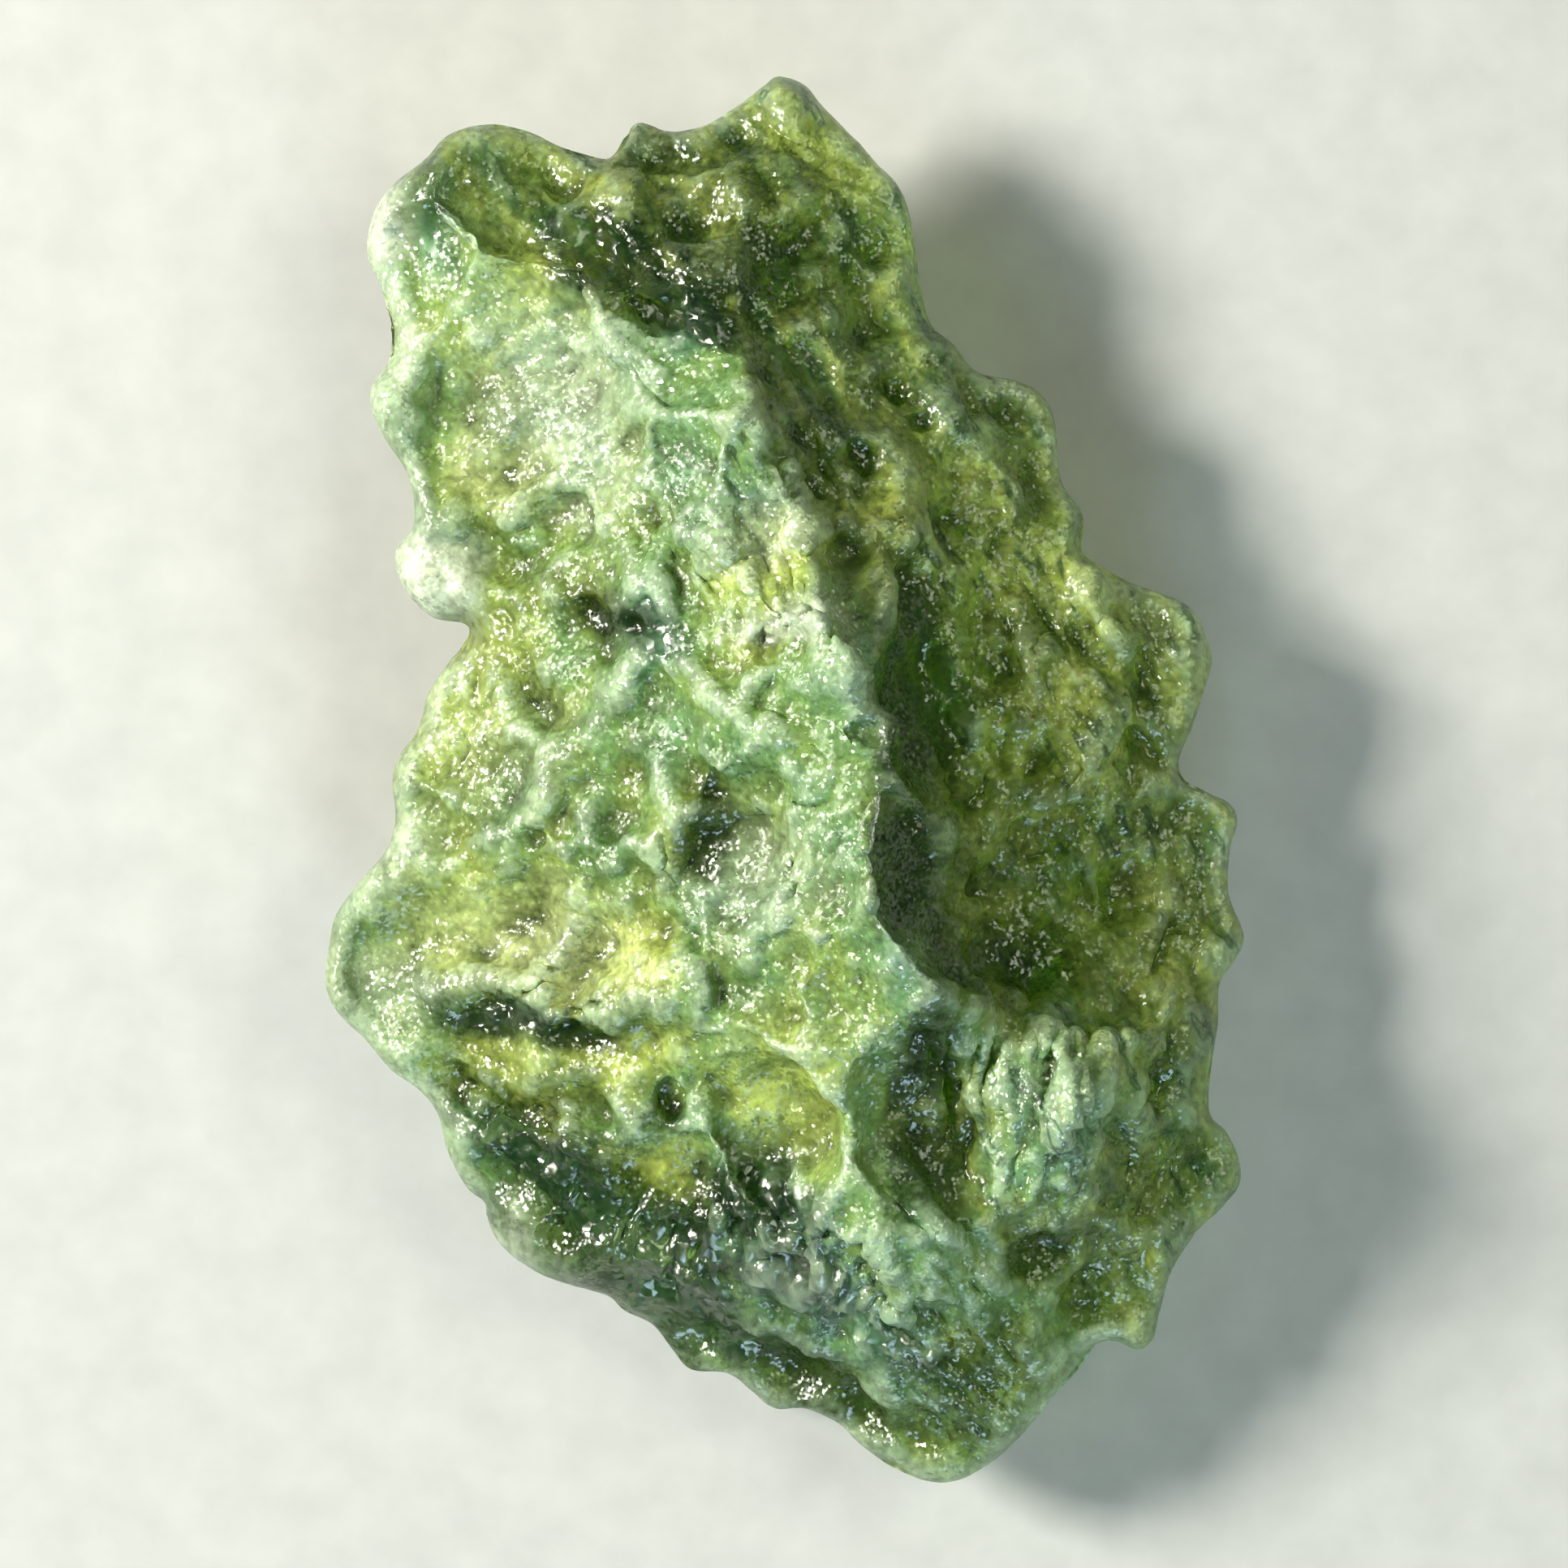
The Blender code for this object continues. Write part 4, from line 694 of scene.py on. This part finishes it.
def frosted(points, normals, side):
    """Share of etched frost: most on the flank left of the ridge, least in the clear places."""
    share = np.where(side > 0, np.clip(0.85 - side / 1.2, 0.28, 0.85), np.clip(0.85 + side / 18, 0.42, 0.85))
    wall = np.hypot((points[:, 0] - 5.6) / 2.2, (points[:, 1] + 7.6) / 2.6)
    share = np.maximum(share, 0.75 * np.clip(1.8 - wall, 0, 1))
    for x, y, a, b, turn, strength in CLEAR:
        c, s = math.cos(math.radians(turn)), math.sin(math.radians(turn))
        off = points[:, :2] - (x, y)
        away = np.hypot((off @ (c, s)) / a, (off @ (-s, c)) / b)
        share *= 1 - strength * np.clip(1.6 - away * 1.3, 0, 1)
    share[normals[:, 2] < -0.2] = 0.45
    return np.clip(share + 0.35 * noise(points * 0.7, 91) + 0.25 * noise(points * 1.9, 92), 0, 1)


# Direction of the streaks on the wing, in degrees
STREAK_RUN = -62

# Rounds of smoothing whose surface is compared with the stone's, for small pits and for wide bowls
PIT_ROUNDS = 22
BOWL_ROUNDS = 90

# Facets to a millimetre
FINE_FACETS = 12.0
COARSE_FACETS = 4.8

# Places by their tint, as in CLEAR: painted highlights where knobs and edges are lit nearly white, olive glass
# with painted glow in places, and painted blue-grey reflection and shade.
PAINTED_HIGHLIGHTS = [
    (-8.9, 4.9, 1.0, 1.0, 0, 1.0), (-9.9, 14.0, 0.7, 1.0, 0, 0.9), (-6.6, -11.0, 0.6, 0.6, 0, 0.7),
    (-9.9, -1.6, 1.1, 1.1, 0, 0.35), (-7.0, 7.6, 1.0, 1.0, 0, 0.3), (-9.9, 10.2, 1.0, 1.0, 0, 0.4),
    (-0.4, 6.0, 0.8, 0.8, 0, 0.3), (-9.8, -5.0, 1.2, 1.2, 0, 0.3), (-5.6, 9.2, 2.4, 1.6, -58, 0.40),
    (-3.0, -11.3, 0.8, 0.4, -30, 0.5), (0.2, -12.0, 0.7, 0.4, 0, 0.4), (-0.2, 3.9, 1.1, 0.35, 10, 0.6),
    (-6.4, -3.8, 2.3, 1.1, -8, 0.30), (-6.8, 0.4, 1.6, 1.6, 0, 0.15), (8.9, 4.2, 1.2, 0.5, -50, 0.3),
    (-0.6, -2.2, 1.6, 1.4, 0, 0.25),
]
# Olive tint, with painted glow of light through the glass at the wing's places
OLIVE_AND_GLOW = [
    (-6.5, -3.9, 2.6, 1.4, -8, 0.9), (-4.1, -4.0, 1.1, 0.9, 0, 0.9), (0.0, -7.5, 1.7, 1.2, -62, 0.65),
    (-7.0, 7.4, 1.2, 0.9, 30, 0.8), (-0.4, 5.3, 1.2, 0.9, 0, 0.8), (-7.8, 2.0, 1.3, 2.4, -20, 0.7),
    (-4.2, -6.5, 1.3, 0.8, 0, 0.8), (-6.8, -6.5, 1.1, 0.7, 0, 0.7), (-6.2, -8.3, 1.0, 0.6, -30, 0.6),
    (-3.1, -9.6, 1.0, 0.8, -40, 0.7), (4.4, 6.0, 2.4, 1.8, -50, 0.9), (6.4, 0.8, 2.6, 2.0, 20, 1.0),
    (7.6, 4.6, 1.8, 1.0, -50, 0.8), (5.0, -3.4, 1.2, 0.8, 0, 0.7), (1.6, 15.2, 1.4, 0.8, -30, 0.8),
    (-4.4, 14.4, 0.9, 0.6, 0, 0.8), (-6.2, 12.4, 1.2, 0.8, -30, 0.5), (8.8, -3.6, 1.4, 1.8, 0, 0.6),
]
# Painted blue-grey reflection and shade, on down-facing facets and shaded walls
PAINTED_REFLECTION_PLACES = [
    (-4.8, 12.8, 1.1, 0.8, -30, 0.9), (-2.6, 11.3, 1.1, 0.7, -30, 0.9), (-6.6, -8.9, 1.2, 0.6, -30, 0.9),
    (-3.4, -11.2, 2.2, 0.9, -30, 1.0), (-0.4, -10.2, 1.3, 0.8, -20, 1.0), (0.3, -12.2, 1.6, 0.8, -30, 0.9),
    (-2.4, -12.9, 2.2, 0.8, -30, 0.8), (2.9, 2.4, 1.0, 2.0, 0, 0.4), (-5.0, -9.9, 1.4, 0.7, -30, 0.9),
    (-6.4, -5.9, 2.0, 0.4, -8, 0.7), (-9.0, 13.6, 1.4, 0.6, -60, 0.5), (2.6, -13.4, 1.8, 0.8, -40, 0.6),
    (6.2, -7.8, 1.6, 1.4, 85, 0.4), (-8.8, 14.5, 1.2, 0.7, 40, 0.45), (-1.7, 6.7, 1.5, 0.8, -40, 0.45),
    (-3.4, 3.6, 0.8, 0.5, 0, 0.6), (3.0, -3.6, 1.0, 2.2, 10, 0.3),
]


def tinted(points, places):
    """Share of a tint, with uneven borders."""
    swirl = np.stack([noise(points * 0.7, 95), noise(points * 0.7 + 9.0, 96)], 1)
    spots = points[:, :2] + 0.9 * swirl
    best = np.zeros(len(points))
    for x, y, a, b, turn, strength in places:
        c, s = math.cos(math.radians(turn)), math.sin(math.radians(turn))
        off = spots - (x, y)
        away = np.hypot((off @ (c, s)) / a, (off @ (-s, c)) / b)
        best = np.maximum(best, strength * np.clip(1.6 - away, 0, 1))
    return best


def stone():
    """The piece, in metres, fitted to the CAD box, with its shares of frost and tint and its painted highlight,
    glow and shade at each point.
    """
    points, faces, on_back, form = stone_mesh()
    flat = on_back & (points[:, 2] < 1e-6)
    hold = np.where(flat, 0.0, 1.0)
    gap = np.clip(nearest(tree_of(closed_curve(OUTLINE, 0.05)), points[:, :2])[1] / 0.5, 0.15, 1)
    fold(points, vertex_normals(points, faces), ~on_back * gap)
    flute(points, vertex_normals(points, faces), ~on_back * gap)
    roughen(points, vertex_normals(points, faces), hold * gap)
    points[:, 2] = np.maximum(points[:, 2], 0)
    cavity = hollows(points, faces, PIT_ROUNDS)
    wide = hollows(points, faces, BOWL_ROUNDS)
    upward = soft_normals(points, faces)
    side = form.read(form.side, points[:, :2])
    frost = frosted(points, upward, side)
    points_mm = points.copy()
    low, high = points.min(0), points.max(0)
    points -= ((low[0] + high[0]) / 2, (low[1] + high[1]) / 2, 0)
    points *= (CAD_BOX[1][1] - CAD_BOX[0][1]) / (high[1] - low[1])
    mesh = bpy.data.meshes.new("moldavite_piece")
    mesh.from_pydata(points.tolist(), [], faces.tolist())
    mesh.shade_smooth()
    # Per point: painted highlight, bowl depth for painted shade, etched frost, and pit depth for painted shade
    frost_and_painted_light = mesh.color_attributes.new("frost_and_painted_light", "FLOAT_COLOR", "POINT")
    # Painted glow of light through the narrow rim, on its upward faces
    rim_glow = 0.6 * (1 - gap) * np.clip(1.4 * upward[:, 2] - 0.2, 0, 1)
    # Pale share: painted highlight at the listed places and the painted rim glow
    pale = np.maximum(tinted(points_mm, PAINTED_HIGHLIGHTS), rim_glow)
    shades = np.stack([pale, np.clip(0.5 + wide / 0.7, 0, 1), frost, np.clip(0.5 + cavity / 0.3, 0, 1)], 1)
    frost_and_painted_light.data.foreach_set("color", shades.astype(np.float32).ravel())
    # Per point: olive tint with painted glow, painted blue-grey reflection and shade, swirl of colour, and the
    # wing
    tint = mesh.color_attributes.new("tint", "FLOAT_COLOR", "POINT")
    above = upward[:, 2] > -0.2
    swirl = np.clip(0.5 + 0.20 * noise(points_mm * 0.5, 97) + 0.12 * noise(points_mm * 1.2 + 3.0, 98), 0, 1)
    wing = np.clip(side / 1.2, 0, 1)
    masks = np.stack([tinted(points_mm, OLIVE_AND_GLOW) * above, tinted(points_mm, PAINTED_REFLECTION_PLACES) * above, swirl, wing], 1)
    tint.data.foreach_set("color", masks.astype(np.float32).ravel())
    grain = 0.5 + 0.55 * noise(points_mm * 6.5 + 2.0, 99)
    c, s = math.cos(math.radians(STREAK_RUN)), math.sin(math.radians(STREAK_RUN))
    along, across = points_mm[:, :2] @ (c, s), points_mm[:, :2] @ (-s, c)
    flow = np.stack([0.5 * along, 2.0 * across, points_mm[:, 2]], 1)
    streak = 0.5 + 0.15 * noise(flow, 87) + 0.10 * noise(2 * flow, 88) + 0.06 * noise(4 * flow, 89)
    fine = mesh.color_attributes.new("fine", "FLOAT_COLOR", "POINT")
    masks = np.clip(np.stack([grain, streak, grain, grain], 1), 0, 1)
    fine.data.foreach_set("color", masks.astype(np.float32).ravel())
    piece = bpy.data.objects.new("moldavite_piece", mesh)
    bpy.context.scene.collection.objects.link(piece)
    return piece


class Nodes:
    """Short hand for building a material's nodes."""

    def __init__(self, material):
        self.tree = material.node_tree

    def add(self, kind, settings=None, inputs=None):
        node = self.tree.nodes.new(kind)
        for name, value in (settings or {}).items():
            setattr(node, name, value)
        for name, value in (inputs or {}).items():
            socket = node.inputs[name]
            if isinstance(value, bpy.types.NodeSocket):
                self.tree.links.new(value, socket)
            else:
                socket.default_value = value
        return node

    def noise(self, vector, scale, detail=3.0, rough=0.55, warp=0.0):
        made = self.add("ShaderNodeTexNoise", None, {"Vector": vector, "Scale": scale, "Detail": detail,
                                                     "Roughness": rough, "Distortion": warp})
        return made.outputs["Fac"]

    def ramp(self, value, stops):
        node = self.add("ShaderNodeValToRGB", None, {"Fac": value})
        points = node.color_ramp.elements
        while len(points) < len(stops):
            points.new(0.5)
        for point, (at, colour) in zip(points, stops):
            point.position = at
            point.color = colour if isinstance(colour, tuple) else (colour, colour, colour, 1)
        return node.outputs["Color"]

    def math(self, how, a, b=0.5, c=0.5):
        return self.add("ShaderNodeMath", {"operation": how}, {0: a, 1: b, 2: c}).outputs[0]

    def mix(self, share, a, b, how="MIX"):
        node = self.tree.nodes.new("ShaderNodeMix")
        node.data_type = "RGBA"
        node.blend_type = how
        for index, value in ((0, share), (6, a), (7, b)):
            if isinstance(value, bpy.types.NodeSocket):
                self.tree.links.new(value, node.inputs[index])
            else:
                node.inputs[index].default_value = value
        return node.outputs[2]


def glass_material():
    """Green glass, clear or etched by the shares that the piece's points carry."""
    material = bpy.data.materials.new("moldavite_glass_look")
    material.use_nodes = True
    n = Nodes(material)
    tree = material.node_tree
    shader = tree.nodes["Principled BSDF"]
    output = tree.nodes["Material Output"]
    place = n.add("ShaderNodeTexCoord").outputs["Object"]
    # The place in millimetres
    spot = n.add("ShaderNodeVectorMath", {"operation": "SCALE"}, {0: place, "Scale": 1000.0}).outputs[0]
    # Painted highlight, bowl depth for painted shade, etched frost, and pit depth for painted shade
    frost_and_painted_light = n.add("ShaderNodeAttribute", {"attribute_name": "frost_and_painted_light"})
    pale, wide, frost = n.add("ShaderNodeSeparateColor", None, {0: frost_and_painted_light.outputs["Color"]}).outputs
    cavity = frost_and_painted_light.outputs["Alpha"]
    tint = n.add("ShaderNodeAttribute", {"attribute_name": "tint"})
    olive, painted_reflection, swirl = n.add("ShaderNodeSeparateColor", None, {0: tint.outputs["Color"]}).outputs
    wing = tint.outputs["Alpha"]
    fine = n.add("ShaderNodeAttribute", {"attribute_name": "fine"})
    grain, streak, _ = n.add("ShaderNodeSeparateColor", None, {0: fine.outputs["Color"]}).outputs

    # Colour: green glass with olive and yellow swirls, pale where it is etched; painted shade darkens the pits
    # and turns the wide bowls olive, and raised points are paler
    deep_green, green, yellow_green = (0.09, 0.23, 0.10, 1), (0.22, 0.34, 0.08, 1), (0.47, 0.55, 0.10, 1)
    glassy = n.ramp(swirl, [(0.38, deep_green), (0.50, green), (0.62, yellow_green)])
    sea_green, pale_green, pale_olive = (0.15, 0.36, 0.15, 1), (0.23, 0.43, 0.11, 1), (0.40, 0.53, 0.09, 1)
    etched = n.ramp(swirl, [(0.36, sea_green), (0.50, pale_green), (0.62, pale_olive)])
    frosty = n.math("MULTIPLY_ADD", wide, -0.25, n.math("ADD", frost, 0.15))
    frosty = n.math("MULTIPLY_ADD", grain, 0.4, frosty)
    frosty = n.math("SUBTRACT", frosty, n.ramp(cavity, [(0.60, 0.05), (1.0, 0.2)]))
    frosty = n.math("MULTIPLY_ADD", painted_reflection, -0.45, frosty)
    colour = n.mix(n.ramp(frosty, [(0.25, 0.0), (0.85, 1.0)]), glassy, etched)
    # Painted shade: the wide bowls mixed towards olive
    colour = n.mix(n.ramp(wide, [(0.50, 0.0), (0.95, 0.4)]), colour, (0.34, 0.44, 0.08, 1))
    # Olive tint, partly painted glow: bright yellow-green at the listed places
    colour = n.mix(n.math("MULTIPLY", olive, 0.9), colour, (0.84, 0.96, 0.18, 1))
    # Painted reflection and shade: dark blue-grey at the listed places
    colour = n.mix(n.math("MULTIPLY", painted_reflection, 0.85), colour, (0.08, 0.30, 0.22, 1))
    # Painted shade: the pits darkened
    colour = n.mix(n.ramp(cavity, [(0.60, 0.0), (1.0, 0.45)]), colour, (0.14, 0.22, 0.05, 1))
    # Raised points mixed paler
    colour = n.mix(n.ramp(cavity, [(0.12, 0.6), (0.46, 0.0)]), colour, (0.70, 0.90, 0.60, 1))
    # Painted highlight and rim glow: mixed towards near-white by the pale share
    colour = n.mix(pale, colour, (0.88, 0.97, 0.76, 1))
    coarse = n.math("GREATER_THAN", n.math("MULTIPLY_ADD", grain, 0.5, painted_reflection), 0.75)
    per_mm = n.math("MULTIPLY_ADD", coarse, COARSE_FACETS - FINE_FACETS, FINE_FACETS)
    facets = n.add("ShaderNodeTexVoronoi", {"feature": "F1"}, {"Vector": spot, "Scale": per_mm})
    facet = facets.outputs["Color"]
    # Painted glints: a few facets, more where the frost is high, mixed to near-white
    painted_glint = n.math("GREATER_THAN", n.math("MULTIPLY_ADD", frost, 0.09, facet), 1.0)
    colour = n.mix(n.math("MULTIPLY", painted_glint, 0.9), colour, (0.96, 1.0, 0.90, 1))
    glossy = n.math("MULTIPLY", wing, n.ramp(frost, [(0.42, 1.0), (0.70, 0.2)]))
    yellow = n.math("MULTIPLY", n.ramp(streak, [(0.47, 0.0), (0.60, 1.0)]), glossy)
    colour = n.mix(yellow, colour, (0.66, 0.76, 0.16, 1))
    cracks = n.math("MULTIPLY", n.ramp(streak, [(0.41, 0.0), (0.435, 0.9), (0.46, 0.0)]), wing)
    colour = n.mix(cracks, colour, (0.06, 0.15, 0.06, 1))
    colour = n.mix(1.0, colour, n.math("MULTIPLY_ADD", grain, 1.1, 0.25), "MULTIPLY")
    tree.links.new(colour, shader.inputs["Base Color"])
    tree.links.new(n.ramp(frosty, [(0.2, 0.96), (0.9, 0.46)]), shader.inputs["Transmission Weight"])
    tree.links.new(n.ramp(frosty, [(0.2, 0.22), (0.9, 0.42)]), shader.inputs["Roughness"])

    # Tiny facets that catch the light
    tilt = n.add("ShaderNodeVectorMath", {"operation": "SUBTRACT"}, {0: facet, 1: (0.5, 0.5, 0.5)}).outputs[0]
    normal = n.add("ShaderNodeNewGeometry").outputs["Normal"]
    for socket, lean in (("Normal", 0.5), ("Coat Normal", 1.3)):
        leaning = n.add("ShaderNodeVectorMath", {"operation": "MULTIPLY_ADD"}, {0: tilt, 1: (lean,) * 3})
        tree.links.new(normal, leaning.inputs[2])
        facing = n.add("ShaderNodeVectorMath", {"operation": "NORMALIZE"}, {0: leaning.outputs[0]})
        tree.links.new(facing.outputs[0], shader.inputs[socket])
    glinting = n.math("MULTIPLY_ADD", wide, -0.2, n.math("MULTIPLY_ADD", painted_reflection, 0.5, frost))
    tree.links.new(n.ramp(glinting, [(0.40, 0.0), (0.78, 0.8)]), shader.inputs["Coat Weight"])
    shader.inputs["Coat Roughness"].default_value = 0.26
    shader.inputs["IOR"].default_value = 1.49

    depth = n.add("ShaderNodeVolumeAbsorption")
    depth.inputs["Color"].default_value = (0.58, 0.74, 0.08, 1)
    depth.inputs["Density"].default_value = 235.0
    tree.links.new(depth.outputs["Volume"], output.inputs["Volume"])
    return material


def floor_piece():
    """A plain pale floor just under z = 0."""
    mesh = bpy.data.meshes.new("floor")
    half = 1.5
    corners = [(-half, -half, 0), (half, -half, 0), (half, half, 0), (-half, half, 0)]
    mesh.from_pydata(corners, [], [(0, 1, 2, 3)])
    floor = bpy.data.objects.new("floor", mesh)
    floor.location.z = -0.00001
    bpy.context.scene.collection.objects.link(floor)
    material = bpy.data.materials.new("floor_paper")
    material.use_nodes = True
    n = Nodes(material)
    shader = material.node_tree.nodes["Principled BSDF"]
    place = n.add("ShaderNodeTexCoord").outputs["Object"]
    tone = n.ramp(n.noise(place, 700.0, 3.0), [(0.3, (0.38, 0.38, 0.375, 1)), (0.7, (0.42, 0.42, 0.415, 1))])
    material.node_tree.links.new(tone, shader.inputs["Base Color"])
    shader.inputs["Roughness"].default_value = 0.9
    mesh.materials.append(material)


def area_light(name, place, aim, size, power, colour):
    """A square light at place that faces aim, in metres and watts."""
    data = bpy.data.lights.new(name, "AREA")
    data.size = size
    data.energy = power
    data.color = colour
    light = bpy.data.objects.new(name, data)
    bpy.context.scene.collection.objects.link(light)
    light.location = place
    light.rotation_mode = "QUATERNION"
    light.rotation_quaternion = (Vector(aim) - Vector(place)).to_track_quat("-Z", "Y")


def camera():
    """Looks straight down on the stone, with the photograph's framing."""
    data = bpy.data.cameras.new("camera")
    data.lens = 150
    data.sensor_width = 36
    data.clip_start = 0.005
    data.clip_end = 20
    eye = bpy.data.objects.new("camera", data)
    bpy.context.scene.collection.objects.link(eye)
    frame_width = 0.03864
    eye.location = (-0.000025, -0.000045, 0.0038 + frame_width * data.lens / data.sensor_width)
    bpy.context.scene.camera = eye


def world():
    made = bpy.data.worlds.new("studio")
    bpy.context.scene.world = made
    made.use_nodes = True
    made.node_tree.nodes["Background"].inputs["Color"].default_value = (0.86, 0.92, 1.0, 1)
    made.node_tree.nodes["Background"].inputs["Strength"].default_value = 0.06


piece = stone()
piece.data.materials.append(glass_material())
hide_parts("moldavite")
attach(piece, "root")
floor_piece()
area_light("key", (-0.215, 0.06, 0.162), (0, 0, 0.004), 0.075, 1.85, (1.0, 0.985, 0.87))
area_light("sheen", (0.15, 0.05, 0.22), (0, 0, 0.004), 0.12, 0.33, (0.94, 1.0, 0.80))
area_light("fill", (0.05, -0.24, 0.12), (0, 0, 0.004), 0.10, 0.44, (0.60, 0.84, 1.0))
world()
camera()
bpy.context.scene.view_settings.view_transform = "Standard"
bpy.context.scene.cycles.max_bounces = 5
bpy.context.scene.cycles.transmission_bounces = 5
bpy.context.scene.cycles.use_light_tree = False
